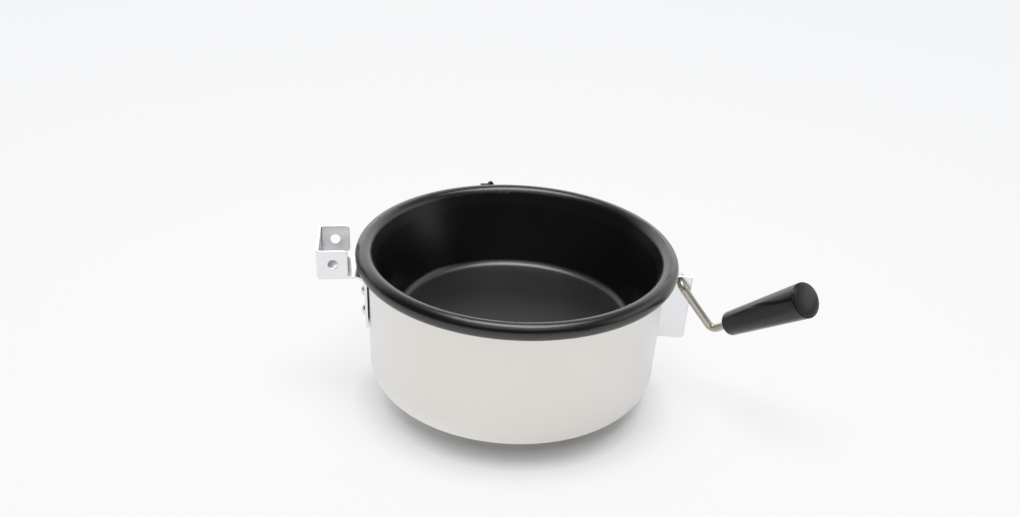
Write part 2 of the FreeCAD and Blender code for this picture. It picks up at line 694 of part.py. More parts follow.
def make_outer_shell():
    """Drawn shell with the holes of everything that is fixed to its wall."""
    body = new_body("outer_shell")
    inner_floor = shell_radius(shell_wall) - shell_wall
    sketch = new_sketch(body, "XZ_Plane", "shell_section")
    outline(sketch,
            [(ZERO, ZERO), (shell_floor_radius, ZERO), (shell_radius(shell_top), shell_top),
             (shell_radius(shell_top) - shell_wall, shell_top), (inner_floor, shell_wall), (ZERO, shell_wall)])
    shell = revolve(body, sketch, "shell_turned")
    outside = fillet(body, shell, ring_edges(shell.Shape, shell_floor_radius, ZERO),
                     shell_corner_radius, "shell_outside_corner")
    fillet(body, outside, ring_edges(outside.Shape, inner_floor, shell_wall),
           shell_corner_radius - shell_wall, "shell_inside_corner")
    rivet_hole = rivet_radius + pin_gap
    for index, rise in enumerate(hinge_rivet_rises):
        wall_hole(body, 180, rise, rivet_hole, f"shell_hinge_hole_{index + 1}")
    for index, rise in enumerate(blade_rivet_rises):
        wall_hole(body, blade_rivet_turn, rise, rivet_hole, f"shell_handle_hole_{index + 1}")
    for side in (-1, 1):
        for index, rise in enumerate(foot_rivet_rises):
            turn = inlet_turn + foot_rivet_turn * side
            wall_hole(body, turn, rise, rivet_hole, f"shell_box_hole_{index + 1}_{side + 1}")
    wall_hole(body, inlet_turn, up_wall(grommet_height), grommet_hole, "shell_grommet_hole")
    return body


# ---------------------------------------------------------------- hinge side
def make_hinge_bracket():
    """One folded sheet: riveted plate, bend, shelf, web and two ears. Its local Z runs up the wall."""
    body = new_body("hinge_bracket")
    plate_inside = wall_reach + seat_gap
    plate_outside = plate_inside + sheet_thickness
    fold_outside = fold_radius + sheet_thickness
    shelf_underside = plate_top + bend_radius
    bend_end = plate_outside + bend_radius
    web_inside = web_face - sheet_thickness
    profile = new_sketch(body, "XZ_Plane", "bracket_profile")
    outline(profile,
            [(plate_inside, plate_foot), (plate_outside, plate_foot), (plate_outside, plate_top),
             (bend_end, shelf_underside), (web_face - fold_outside, shelf_underside),
             (web_face, shelf_underside + fold_outside), (web_face, ear_top), (web_inside, ear_top),
             (web_inside, shelf_top + fold_radius), (web_inside - fold_radius, shelf_top),
             (bend_end, shelf_top), (plate_inside, plate_top)],
            {2: (bend_radius, -1), 4: (fold_outside, 1), 8: (fold_radius, -1),
             10: (bend_radius + sheet_thickness, 1)})
    pad(body, profile, plate_width, "bracket_strip", centred=True)

    half = web_width / 2
    inner_half = half - sheet_thickness
    ear_end = web_face - ear_length
    channel = new_sketch(body, "XY_Plane", "channel_plan", ear_foot)
    outline(channel,
            [(ear_end, -half), (web_face - fold_outside, -half), (web_face, fold_outside - half),
             (web_face, half - fold_outside), (web_face - fold_outside, half), (ear_end, half),
             (ear_end, inner_half), (web_inside - fold_radius, inner_half),
             (web_inside, inner_half - fold_radius), (web_inside, fold_radius - inner_half),
             (web_inside - fold_radius, -inner_half), (ear_end, -inner_half)],
            {1: (fold_outside, 1), 3: (fold_outside, 1), 7: (fold_radius, -1), 9: (fold_radius, -1)})
    ears = pad(body, channel, ear_top - ear_foot, "channel")

    def at_ear_end(point):
        return abs(point.x - ear_end.value) < 0.01

    corners = straight_edges(ears.Shape, Vector(0, 1, 0), at_ear_end)
    fillet(body, ears, corners, ear_corner_radius, "ear_corners")
    pin = new_sketch(body, "XZ_Plane", "pin_circle")
    circle(pin, pin_hole_reach, pin_hole_height, pin_hole_radius)
    pocket(body, pin, "pin_holes")
    for index, rise in enumerate(hinge_rivet_rises):
        hole = new_sketch(body, "YZ_Plane", f"hinge_hole_circle_{index + 1}", plate_inside)
        circle(hole, ZERO, rise, rivet_radius + pin_gap)
        pocket(body, hole, f"hinge_hole_{index + 1}", sheet_thickness, backwards=True)
    place(body, rotation=about_z(180) * Rotation(Vector(0, 1, 0), draft_angle.value))
    return body


def make_backing_plate(label, turn, rises):
    """Curved plate inside the shell that the rivets are upset against."""
    body = new_body(label)
    sketch = new_sketch(body, "XZ_Plane", f"{label}_section")
    outside = -shell_wall - seat_gap
    wall_strip(sketch, rises[0] - backing_margin, rises[1] + backing_margin,
               outside - sheet_thickness, outside)
    revolve(body, sketch, f"{label}_turned", angle=backing_arc, centred=True)
    for index, rise in enumerate(rises):
        wall_hole(body, 0, rise, rivet_radius + pin_gap, f"{label}_hole_{index + 1}")
    place(body, rotation=about_z(turn))
    return body


# ---------------------------------------------------------------- handle side
def make_handle_bracket():
    """Riveted curved flange with an upright blade across it and a lip along the blade's edge."""
    body = new_body("handle_bracket")
    flange = new_sketch(body, "XZ_Plane", "flange_section")
    wall_strip(flange, blade_foot, blade_top, seat_gap, seat_gap + sheet_thickness)
    revolve(body, flange, "flange", angle=flange_arc)

    corner = blade_corner_radius
    blade = new_sketch(body, "XZ_Plane", "blade_outline")
    outline(blade,
            [wall_point(seat_gap, blade_foot), wall_point(blade_reach - corner, blade_foot),
             wall_point(blade_reach, blade_foot + corner), wall_point(blade_reach, blade_top),
             wall_point(seat_gap, blade_top)],
            {1: (corner, 1)})
    pad(body, blade, sheet_thickness, "blade", backwards=True)
    lip = new_sketch(body, "XZ_Plane", "lip_section")
    wall_strip(lip, blade_foot + corner, blade_top, blade_reach - sheet_thickness, blade_reach)
    lip_pad = pad(body, lip, lip_depth, "lip", backwards=True)

    edge_direction = Vector(math.sin(math.radians(draft_angle.value)), 0,
                            math.cos(math.radians(draft_angle.value)))
    edge_foot, _ = wall_point(blade_reach, blade_foot + corner)

    def on_fold(point):
        return abs(point.y) < 0.01 and point.x > edge_foot.value - 0.01

    fillet(body, lip_pad, straight_edges(lip_pad.Shape, edge_direction, on_fold), fold_radius, "lip_fold")
    hole = new_sketch(body, "XZ_Plane", "pivot_hole")
    circle(hole, pivot_reach, pivot_height, journal_radius + running_gap)
    pocket(body, hole, "pivot_bore")
    for index, rise in enumerate(blade_rivet_rises):
        wall_hole(body, blade_rivet_turn, rise, rivet_radius + pin_gap, f"flange_hole_{index + 1}")
    return body


def along_pivot(body, distance):
    """Place a piece that was built along +Z on the lever's pivot, distance behind the blade's face."""
    place(body, pivot_reach, distance, pivot_height, Rotation(Vector(0, 0, 1), Vector(0, 1, 0)))


def lever_points():
    """Corners of the lever's rod: pivot shoulder, first bend, second bend, and the grip's direction."""
    shoulder = end_play / 2
    arm_plane = -shoulder - shoulder_run - rod_bend_radius
    start = Vector(pivot_reach.value, -shoulder.value, pivot_height.value)
    first = Vector(pivot_reach.value, arm_plane.value, pivot_height.value)
    angle = math.radians(arm_angle.value)
    second = first + Vector(math.cos(angle), 0, -math.sin(angle)) * arm_length.value
    turn = math.radians(grip_turn.value)
    rise = math.radians(grip_rise.value)
    out = Vector(math.cos(rise) * math.cos(turn), -math.cos(rise) * math.sin(turn), math.sin(rise))
    return start, first, second, out


def on_grip(body, distance, axis=Vector(1, 0, 0)):
    """Place a piece on the grip's axis, distance from the second bend. axis is the piece's own axis."""
    _, _, second, out = lever_points()
    point = second + out * plain(distance).value
    body.Placement = Placement(point, Rotation(axis, out))
    return body


def make_handle_rod():
    """Round bar with two bends and turned down, threaded ends."""
    start, first, second, out = lever_points()
    shoulder = second + out * rod_shoulder.value
    bar = pipe([start, first, second, shoulder], rod_bend_radius.value, rod_radius.value)
    pivot_length = pivot_stack + thread_show
    pivot_end = Part.makeCylinder(journal_radius.value, pivot_length.value, start, Vector(0, 1, 0))
    grip_end = washer_thickness + small_nut_height + thread_show
    outer_end = Part.makeCylinder(journal_radius.value, grip_end.value, shoulder, out)
    return shape_part("handle_rod", bar.fuse([pivot_end, outer_end]).removeSplitter())


def make_handle_grip():
    """Tapered grip with a running bore, a pocket for its nut and a recess for its cap."""
    body = new_body("handle_grip")
    bore = rod_radius + running_gap
    ring_room = stop_ring_radius + end_play
    taper = (grip_big_radius - grip_small_radius) / grip_length
    length = grip_length
    sketch = new_sketch(body, "XZ_Plane", "grip_section")
    outline(sketch,
            [(stop_ring_depth, bore), (stop_ring_depth, ring_room), (ZERO, ring_room),
             (ZERO, grip_small_radius - grip_small_edge),
             (grip_small_edge, grip_small_radius + taper * grip_small_edge),
             (length - grip_big_edge, grip_big_radius), (length, grip_big_radius - grip_big_edge),
             (length, cap_seat_radius), (length - cap_seat_depth, cap_seat_radius),
             (length - cap_seat_depth, nut_pocket_radius), (length - nut_pocket_depth, nut_pocket_radius),
             (length - nut_pocket_depth, bore)],
            {3: (grip_small_edge, -1), 5: (grip_big_edge, -1)})
    revolve(body, sketch, "grip_turned", axis="H_Axis")
    return on_grip(body, grip_start)


def make_grip_cap():
    """Domed cap with a spigot, pressed into the grip's wide end."""
    body = new_body("grip_cap")
    rim = cap_seat_radius - seat_gap
    spigot = nut_pocket_radius - seat_gap
    edge = cap_thickness
    dome = (rim * rim + cap_crown * cap_crown) / (cap_crown * 2)
    sketch = new_sketch(body, "XZ_Plane", "cap_section")
    outline(sketch,
            [(-cap_spigot_depth, ZERO), (-cap_spigot_depth, spigot), (ZERO, spigot), (ZERO, rim),
             (edge, rim), (edge + cap_crown, ZERO)],
            {4: (dome, -1)})
    revolve(body, sketch, "cap_turned", axis="H_Axis")
    return on_grip(body, grip_start + grip_length - cap_seat_depth)


# ---------------------------------------------------------------- heater
def disc(label, radius, bore, low, thickness):
    """A flat disc with a middle hole, on the kettle's axis, its lower face at low."""
    body = washer(label, radius, bore, thickness)
    place(body, z=low)
    return body


def make_heating_element():
    """Tubular element: an open circle whose two cold ends bend down through the cover."""
    height = element_height.value
    radius = element_radius.value
    bend = element_bend_radius.value
    down = Vector(0, 0, -1)

    def spot(angle):
        turn = math.radians(angle)
        return Vector(radius * math.cos(turn), radius * math.sin(turn), height)

    def end(angle, sense):
        turn = math.radians(angle)
        away = Vector(math.sin(turn), -math.cos(turn), 0) * sense
        joint = spot(angle)
        corner = joint + away * bend
        lower = corner + down * bend
        centre = joint + down * bend
        middle = centre + (away - down).normalize() * bend
        return joint, middle, lower, lower + down * element_tail.value

    first, first_middle, first_low, first_end = end(half_gap.value, 1)
    last, last_middle, last_low, last_end = end(-half_gap.value, -1)
    path = Part.Wire([Part.LineSegment(first_end, first_low).toShape(),
                      Part.Arc(first_low, first_middle, first).toShape(),
                      Part.Arc(first, spot(180), last).toShape(),
                      Part.Arc(last, last_middle, last_low).toShape(),
                      Part.LineSegment(last_low, last_end).toShape()])
    section = Part.Wire([Part.Circle(first_end, Vector(0, 0, 1), element_tube_radius.value).toShape()])
    part = shape_part("heating_element", path.makePipeShell([section], True, False))
    part.Placement = Placement(Vector(0, 0, 0), about_z(inlet_turn))
    return part


def make_element_cover():
    """Shallow dish that presses the element against the heat plate."""
    body = new_body("element_cover")
    hole = stud_radius + pin_gap
    sketch = new_sketch(body, "XZ_Plane", "cover_section")
    outline(sketch,
            [(hole, cover_underside), (cover_radius, cover_underside), (cover_radius, heat_plate_underside),
             (cover_radius - cover_sheet, heat_plate_underside), (cover_radius - cover_sheet, cover_top),
             (hole, cover_top)])
    revolve(body, sketch, "cover_turned")
    holes = new_sketch(body, "XY_Plane", "cover_holes", cover_underside)
    for side in (-1, 1):
        circle(holes, slot_reach, slot_side * side, cover_slot_radius)
    screw = small_screw_radius + pin_gap
    direction = thermostat_turn - inlet_turn
    for side in (-1, 1):
        reach = control_reach + thermostat_ear * side
        circle(holes, reach * cosine(direction), reach * sine(direction), screw)
    pocket(body, holes, "cover_openings", cover_sheet, backwards=True)
    place(body, rotation=about_z(inlet_turn))
    return body


def make_thermostat():
    """Disc thermostat: eared flange, round body and two terminal blades, hanging from the cover."""
    body = new_body("thermostat")
    ear = thermostat_ear
    end = small_head_radius + pin_gap * 4
    flange = new_sketch(body, "XY_Plane", "thermostat_flange")
    outline(flange, [(-ear, -end), (ear, -end), (ear + end, ZERO), (ear, end), (-ear, end), (-ear - end, ZERO)],
            {1: (end, 1), 2: (end, 1), 4: (end, 1), 5: (end, 1)})
    for side in (-1, 1):
        circle(flange, ear * side, ZERO, small_screw_radius + pin_gap)
    pad(body, flange, thermostat_flange, "thermostat_ears", backwards=True)
    case = new_sketch(body, "XY_Plane", "thermostat_case")
    circle(case, ZERO, ZERO, thermostat_radius)
    pad(body, case, thermostat_height, "thermostat_body", backwards=True)
    blades = new_sketch(body, "XY_Plane", "thermostat_blades", -thermostat_height)
    for side in (-1, 1):
        middle = thermostat_radius * side / 2
        box_outline(blades, middle - clip_sheet / 2, middle + clip_sheet / 2,
                    -thermostat_radius / 3, thermostat_radius / 3)
    pad(body, blades, thermostat_radius, "thermostat_terminals", backwards=True)
    place(body, control_reach * cosine(thermostat_turn), control_reach * sine(thermostat_turn),
          cover_underside, about_z(thermostat_turn))
    return body


def screw_body(label, shank, length, head, head_height):
    """A screw along its local Z: head below the XY plane, shank above it."""
    body = new_body(label)
    sketch = new_sketch(body, "XZ_Plane", f"{label}_section")
    crown = head_height / 3
    outline(sketch, [(ZERO, -head_height), (head - crown, -head_height), (head, crown - head_height),
                     (head, ZERO), (shank, ZERO), (shank, length), (ZERO, length)],
            {1: (crown, 1)})
    revolve(body, sketch, f"{label}_turned")
    return body


def make_thermostat_screws():
    screws = []
    for index, side in enumerate((-1, 1)):
        body = screw_body(f"thermostat_screw_{index + 1}", small_screw_radius,
                          thermostat_flange + cover_sheet + screw_show, small_head_radius, small_head_height)
        reach = control_reach + thermostat_ear * side
        place(body, reach * cosine(thermostat_turn), reach * sine(thermostat_turn),
              cover_underside - thermostat_flange)
        screws.append(body)
    return group("thermostat_screws", screws)


def make_thermal_cutout():
    """Small cylinder with two wires' ends, lying across the cover's underside."""
    body = new_body("thermal_cutout")
    sketch = new_sketch(body, "XZ_Plane", "cutout_section")
    half = cutout_length / 2
    pin = cutout_radius / 4
    outline(sketch, [(-half - cutout_radius, ZERO), (-half - cutout_radius, pin), (-half, pin),
                     (-half, cutout_radius), (half, cutout_radius), (half, pin),
                     (half + cutout_radius, pin), (half + cutout_radius, ZERO)])
    revolve(body, sketch, "cutout_turned", axis="H_Axis")
    place(body, control_reach * cosine(cutout_turn), control_reach * sine(cutout_turn), cutout_height,
          about_z(cutout_turn + 90))
    return body


def make_cutout_clip():
    """Saddle strap spot-welded to the cover, holding the thermal cut-out."""
    body = new_body("cutout_clip")
    inside = cutout_radius + seat_gap
    outside = inside + clip_sheet
    foot = outside * 2
    rise = cutout_radius + seat_gap
    sketch = new_sketch(body, "XZ_Plane", "clip_section")
    outline(sketch,
            [(foot, rise), (foot, rise - clip_sheet), (outside, rise - clip_sheet), (outside, ZERO),
             (ZERO, -outside), (-outside, ZERO), (-outside, rise - clip_sheet), (-foot, rise - clip_sheet),
             (-foot, rise), (-inside, rise), (-inside, ZERO), (ZERO, -inside), (inside, ZERO), (inside, rise)],
            {3: (outside, -1), 4: (outside, -1), 10: (inside, 1), 11: (inside, 1)})
    pad(body, sketch, cutout_radius * 2, "clip_strap", centred=True)
    place(body, control_reach * cosine(cutout_turn), control_reach * sine(cutout_turn), cutout_height,
          about_z(cutout_turn))
    return body


# ---------------------------------------------------------------- wiring and inlet
def make_terminal_block():
    """Ceramic block with three wire bores and a screw hole over each, standing on the heat shield."""
    body = new_body("terminal_block")
    base = new_sketch(body, "XY_Plane", "block_outline")
    box_outline(base, block_reach - block_depth / 2, block_reach + block_depth / 2,
                -block_length / 2, block_length / 2)
    pad(body, base, block_height, "block")
    bores = new_sketch(body, "YZ_Plane", "block_bores")
    screws = new_sketch(body, "XY_Plane", "block_screw_holes", block_bore_height)
    for side in (-1, 0, 1):
        circle(bores, tail_side * side, block_bore_height, block_bore)
        circle(screws, block_reach, tail_side * side, small_screw_radius + pin_gap)
    pocket(body, bores, "block_wire_bores")
    pocket(body, screws, "block_screw_bores", block_height, backwards=True)
    place(body, z=shield_top, rotation=about_z(inlet_turn))
    return body


def make_terminal_screws():
    screws = []
    for index, side in enumerate((-1, 0, 1)):
        length = block_height - block_bore_height - lead_radius - pin_gap
        body = screw_body(f"terminal_screw_{index + 1}", small_screw_radius, length,
                          small_head_radius, small_head_height)
        offset = tail_side * side
        x = block_reach * cosine(inlet_turn) - offset * sine(inlet_turn)
        y = block_reach * sine(inlet_turn) + offset * cosine(inlet_turn)
        place(body, x, y, shield_top + block_height, Rotation(Vector(1, 0, 0), 180))
        screws.append(body)
    return group("terminal_screws", screws)


def lead(label, points):
    part = shape_part(label, pipe(points, lead_bend_radius.value, lead_radius.value))
    part.Placement = Placement(Vector(0, 0, 0), about_z(inlet_turn))
    return part


def make_inlet_lead(label, side):
    """From an inlet pin down the box, through the grommet, down inside the shell and into the block."""
    tail = (socket_back - inlet_pin_tail).value
    pin = inlet_pin_pitch.value * side
    spread = lead_spread.value * side
    terminal = tail_side.value * side
    high = (inlet_centre_height - inlet_pin_drop).value
    low = (shield_top + block_bore_height).value
    drop = lead_drop_reach.value
    inner = lead_inner_reach.value
    block = (block_reach + block_depth / 4).value
    approach = (block_reach + block_depth).value
    points = [Vector(tail, pin, high), Vector(drop, pin, high), Vector(drop, spread, grommet_height.value),
              Vector(inner, spread, grommet_height.value), Vector(inner, spread, low)]
    if side:
        points.append(Vector(approach, terminal, low))
    points.append(Vector(block, terminal, low))
    return lead(label, points)


def make_element_leads():
    """Two leads from the block's inner face up to the element's cold ends."""
    low = (shield_top + block_bore_height).value
    leads = []
    for side in (-1, 1):
        across = tail_side.value * side
        leads.append(pipe([Vector((block_reach - block_depth / 4).value, across, low),
                           Vector(tail_reach.value, across, low), Vector(tail_reach.value, across, tail_foot.value)],
                          lead_bend_radius.value, lead_radius.value))
    part = shape_part("element_leads", Part.makeCompound(leads))
    part.Placement = Placement(Vector(0, 0, 0), about_z(inlet_turn))
    return part


def make_lead_grommet():
    """Rubber ring with a groove that grips the edge of the shell's hole."""
    body = new_body("lead_grommet")
    half = shell_wall / 2 + grommet_slack
    sketch = new_sketch(body, "XZ_Plane", "grommet_section")
    neck = grommet_hole - seat_gap
    outline(sketch, [(-half - grommet_lip, grommet_bore), (half + grommet_lip, grommet_bore),
                     (half + grommet_lip, grommet_radius), (half, grommet_radius), (half, neck),
                     (-half, neck), (-half, grommet_radius), (-half - grommet_lip, grommet_radius)])
    revolve(body, sketch, "grommet_turned", axis="H_Axis")
    reach = shell_radius(grommet_height) - shell_wall / 2
    place(body, reach * cosine(inlet_turn), reach * sine(inlet_turn), grommet_height,
          about_z(inlet_turn) * Rotation(Vector(0, 1, 0), draft_angle.value))
    return body


def make_inlet_box():
    """Sheet box riveted to the shell's back, with a window for the socket and a tab on top."""
    body = new_body("inlet_box")
    half = inlet_box_width / 2
    inner_half = half - inlet_sheet
    inner_foot = inlet_box_foot + inlet_sheet
    inner_top = inlet_box_top - inlet_sheet
    start = shell_floor_radius / 2
    walls = new_sketch(body, "YZ_Plane", "box_walls", start)
    box_outline(walls, -half, half, inlet_box_foot, inlet_box_top)
    box_outline(walls, -inner_half, inner_half, inner_foot, inner_top)
    pad(body, walls, inlet_reach - start, "walls")
    face = new_sketch(body, "YZ_Plane", "box_face", inlet_reach - inlet_sheet)
    box_outline(face, -half, half, inlet_box_foot, inlet_box_top)
    window_half = socket_width / 2 + seat_gap
    window_rise = socket_height / 2 + seat_gap
    box_outline(face, -window_half, window_half, inlet_centre_height - window_rise,
                inlet_centre_height + window_rise)
    for side in (-1, 1):
        circle(face, ZERO, inlet_centre_height + flange_screw * side, small_screw_radius + pin_gap)
    pad(body, face, inlet_sheet, "face")
    tab = new_sketch(body, "YZ_Plane", "box_tab", inlet_reach - inlet_sheet)
    box_outline(tab, ZERO, tab_width, inner_top, tab_top)
    pad(body, tab, inlet_sheet, "tab")

    room = new_sketch(body, "XZ_Plane", "room_for_shell")
    margin = inlet_sheet * 2
    low = inlet_box_foot - margin
    high = inlet_box_top + margin
    clear = seat_gap + inlet_sheet / 2
    outline(room, [(ZERO, low), (shell_radius(low) + clear, low), (shell_radius(high) + clear, high),
                   (ZERO, high)])
    cut = body.newObject("PartDesign::Groove", "shell_room")
    cut.Profile = room
    cut.ReferenceAxis = (room, ["V_Axis"])
    cut.Angle = 360
    doc.recompute()
    feet = new_sketch(body, "XZ_Plane", "feet_section")
    wall_strip(feet, up_wall(inlet_box_foot), up_wall(inlet_box_top), seat_gap, seat_gap + inlet_sheet)
    revolve(body, feet, "feet", angle=foot_arc, centred=True)
    window = new_sketch(body, "YZ_Plane", "back_window", start)
    box_outline(window, -inner_half, inner_half, inner_foot, inner_top)
    pocket(body, window, "back_opening", inlet_reach - start - inlet_sheet, backwards=True)
    for side in (-1, 1):
        for index, rise in enumerate(foot_rivet_rises):
            wall_hole(body, foot_rivet_turn * side, rise, rivet_radius + pin_gap,
                      f"foot_hole_{index + 1}_{side + 1}")
    place(body, rotation=about_z(inlet_turn))
    return body


def make_inlet_body():
    """Moulded inlet: flange with a keying rib, and a socket with a floor for the pins."""
    body = new_body("inlet_body")
    middle = inlet_centre_height
    flange = new_sketch(body, "YZ_Plane", "flange_outline", inlet_reach)
    box_outline(flange, -flange_width / 2, flange_width / 2, middle - flange_height / 2,
                middle + flange_height / 2)
    for side in (-1, 1):
        circle(flange, ZERO, middle + flange_screw * side, small_screw_radius + pin_gap)
    pad(body, flange, flange_thickness, "flange_plate")
    key = new_sketch(body, "YZ_Plane", "key_outline", inlet_reach)
    radius = key_width / 2
    foot = middle + flange_height / 2 - key_root
    outline(key, [(-key_width, foot), (ZERO, foot), (ZERO, key_top - radius), (-radius, key_top),
                  (-key_width, key_top - radius)],
            {2: (radius, 1), 3: (radius, 1)})
    pad(body, key, flange_thickness, "key_rib")
    block = new_sketch(body, "YZ_Plane", "socket_outline", socket_back)
    box_outline(block, -socket_width / 2, socket_width / 2, middle - socket_height / 2,
                middle + socket_height / 2)
    pad(body, block, flange_face - socket_back, "socket_block")
    hollow = new_sketch(body, "YZ_Plane", "socket_hollow", flange_face)
    box_outline(hollow, socket_wall - socket_width / 2, socket_width / 2 - socket_wall,
                middle - socket_height / 2 + socket_wall, middle + socket_height / 2 - socket_wall)
    pocket(body, hollow, "socket_opening", socket_depth)
    holes = new_sketch(body, "YZ_Plane", "pin_holes", flange_face)
    for side in (-1, 0, 1):
        circle(holes, inlet_pin_pitch * side, middle - inlet_pin_drop, inlet_pin_radius + pin_gap)
    pocket(body, holes, "pin_bores", flange_face - socket_back)
    place(body, rotation=about_z(inlet_turn))
    return body


def make_inlet_pins():
    """Three round pins through the socket's floor."""
    body = new_body("inlet_pins")
    sketch = new_sketch(body, "YZ_Plane", "pin_circles", socket_back - inlet_pin_tail)
    for side in (-1, 0, 1):
        circle(sketch, inlet_pin_pitch * side, inlet_centre_height - inlet_pin_drop, inlet_pin_radius)
    pad(body, sketch, inlet_pin_tail + socket_floor + inlet_pin_length, "pins")
    place(body, rotation=about_z(inlet_turn))
    return body


def make_inlet_screws():
    screws = []
    for index, side in enumerate((-1, 1)):
        body = screw_body(f"inlet_screw_{index + 1}", small_screw_radius,
                          flange_thickness + inlet_sheet + washer_thickness,
                          small_head_radius, small_head_height)
        place(body, flange_face * cosine(inlet_turn), flange_face * sine(inlet_turn),
              inlet_centre_height + flange_screw * side,
              about_z(inlet_turn) * Rotation(Vector(0, 1, 0), -90))
        screws.append(body)
    return group("inlet_screws", screws)


def make_earth_link():
    """Short lead from the block's middle terminal to the earth screw on the heat shield."""
    high = (shield_top + block_bore_height).value
    low = (shield_top + lead_radius).value
    screw = earth_screw_reach.value
    points = [Vector((block_reach - block_depth / 4).value, 0, high),
              Vector((block_reach - block_depth / 2 - lead_bend_radius / 2).value, 0, high),
              Vector(screw + (small_head_radius + lead_bend_radius / 2).value, 0, low),
              Vector(screw + small_screw_radius.value, 0, low)]
    return lead("earth_link", points)


def make_earth_screw():
    """Screw that clamps the earth link against the heat shield."""
    lift = lead_radius * 2
    body = screw_body("earth_screw", small_screw_radius, lift + shield_sheet,
                      small_head_radius, small_head_height)
    place(body, earth_screw_reach * cosine(inlet_turn), earth_screw_reach * sine(inlet_turn),
          shield_top + lift, Rotation(Vector(1, 0, 0), 180))
    return body


def make_heat_shield():
    """Flat disc over the insulation, with the holes of the stud and of the earth screw."""
    body = new_body("heat_shield")
    sketch = new_sketch(body, "XY_Plane", "shield_rings")
    circle(sketch, ZERO, ZERO, shield_radius)
    circle(sketch, ZERO, ZERO, stud_radius + pin_gap)
    circle(sketch, earth_screw_reach, ZERO, small_screw_radius + pin_gap)
    pad(body, sketch, shield_sheet, "shield_disc")
    place(body, z=shield_height, rotation=about_z(inlet_turn))
    return body


def stud(label, foot, top):
    """A welded threaded stud on the kettle's axis."""
    body = new_body(label)
    sketch = new_sketch(body, "XY_Plane", f"{label}_circle", foot)
    circle(sketch, ZERO, ZERO, stud_radius)
    pad(body, sketch, top - foot, f"{label}_pad")
    return body


def nut(label, flats, height, bore, foot):
    """A nut on the kettle's axis, its lower face at foot."""
    body = hex_nut(label, flats, height, bore)
    place(body, z=foot)
    return body


def on_pivot():
    """The small pieces behind the blade at the lever's pivot, from front to back."""
    behind = sheet_thickness + end_play / 2
    rear = washer("rear_washer", washer_outside, journal_radius, washer_thickness)
    along_pivot(rear, behind)
    spring = washer("spring_washer", washer_outside - washer_margin / 4, journal_radius,
                    spring_washer_thickness)
    along_pivot(spring, behind + washer_thickness)
    pivot_nut = hex_nut("pivot_nut", small_nut_flats, small_nut_height, journal_radius)
    along_pivot(pivot_nut, behind + washer_thickness + spring_washer_thickness)
    return [rear, spring, pivot_nut]


def on_grip_end():
    """The pieces that hold the grip on the rod."""
    upright = Vector(0, 0, 1)
    ring = washer("stop_ring", stop_ring_radius, rod_radius, stop_ring_thickness)
    on_grip(ring, grip_start + stop_ring_depth - end_play - stop_ring_thickness, upright)
    end_washer = washer("grip_washer", washer_outside, journal_radius, washer_thickness)
    on_grip(end_washer, rod_shoulder, upright)
    end_nut = hex_nut("grip_nut", small_nut_flats, small_nut_height, journal_radius)
    on_grip(end_nut, rod_shoulder + washer_thickness, upright)
    return [ring, end_washer, end_nut]


# ---------------------------------------------------------------- the whole kettle
parts = [
    make_inner_pan(),
    make_outer_shell(),
    make_hinge_bracket(),
    make_backing_plate("hinge_backing_plate", 180, hinge_rivet_rises),
    wall_rivets("hinge_rivets", 180, hinge_rivet_rises, [sheet_thickness, sheet_thickness]),
    make_handle_bracket(),
    make_backing_plate("handle_backing_plate", blade_rivet_turn, blade_rivet_rises),
    wall_rivets("handle_bracket_rivets", blade_rivet_turn, blade_rivet_rises,
                [sheet_thickness, sheet_thickness]),
    make_handle_rod(),
    *on_pivot(),
    *on_grip_end(),
    make_handle_grip(),
    make_grip_cap(),
    disc("heat_plate", heat_plate_radius, stud_radius + pin_gap, heat_plate_underside, heat_plate_thickness),
    make_heating_element(),
    make_element_cover(),
    stud("pan_stud", cover_nut_foot - thread_show, pan_underside),
    disc("cover_washer", stud_washer_radius, stud_radius + pin_gap, cover_underside - washer_thickness,
         washer_thickness),
    nut("cover_nut", nut_flats, nut_height, stud_radius, cover_nut_foot),
    stud("shield_post", shell_wall, shield_top + nut_height + thread_show),
    disc("shield_spacer", spacer_radius, stud_radius + pin_gap, shell_wall, shield_height - shell_wall),
    disc("insulation_mat", mat_radius, spacer_radius + mat_gap, shell_wall, shield_height - shell_wall),
    make_heat_shield(),
    nut("shield_nut", nut_flats, nut_height, stud_radius, shield_top),
    make_thermostat(),
    make_thermostat_screws(),
    make_thermal_cutout(),
    make_cutout_clip(),
    make_terminal_block(),
    make_terminal_screws(),
    make_element_leads(),
    make_inlet_lead("live_lead", 1),
    make_inlet_lead("earth_lead", 0),
    make_inlet_lead("neutral_lead", -1),
    make_earth_link(),
    make_earth_screw(),
    make_lead_grommet(),
    make_inlet_box(),
    make_inlet_body(),
    make_inlet_pins(),
    make_inlet_screws(),
    wall_rivets("inlet_rivets_left", inlet_turn + foot_rivet_turn, foot_rivet_rises, [inlet_sheet]),
    wall_rivets("inlet_rivets_right", inlet_turn - foot_rivet_turn, foot_rivet_rises, [inlet_sheet]),
]
doc.recompute()

for item in doc.Objects:
    if "Invalid" in item.State or "Error" in item.State:
        raise RuntimeError(f"{item.Label} did not build: {item.State}")
for part in parts:
    if part.Shape.isNull() or not part.Shape.isValid():
        raise RuntimeError(f"{part.Label} has no valid shape")

os.makedirs("parts", exist_ok=True)
for part in parts:
    part.Shape.exportStep(f"parts/{part.Label}.step")
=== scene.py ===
"""Looks of a tilting popcorn kettle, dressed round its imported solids.

The kettle stands on its shell's flat base. +Z is up, the hinge's clevis is towards -X,
the lever towards +X and the electrical inlet towards +Y. Lengths are in metres.
"""

import logging
import math
from dataclasses import dataclass
from enum import Enum
from typing import Any, Callable, Sequence

import bpy
from mathutils import Matrix, Vector

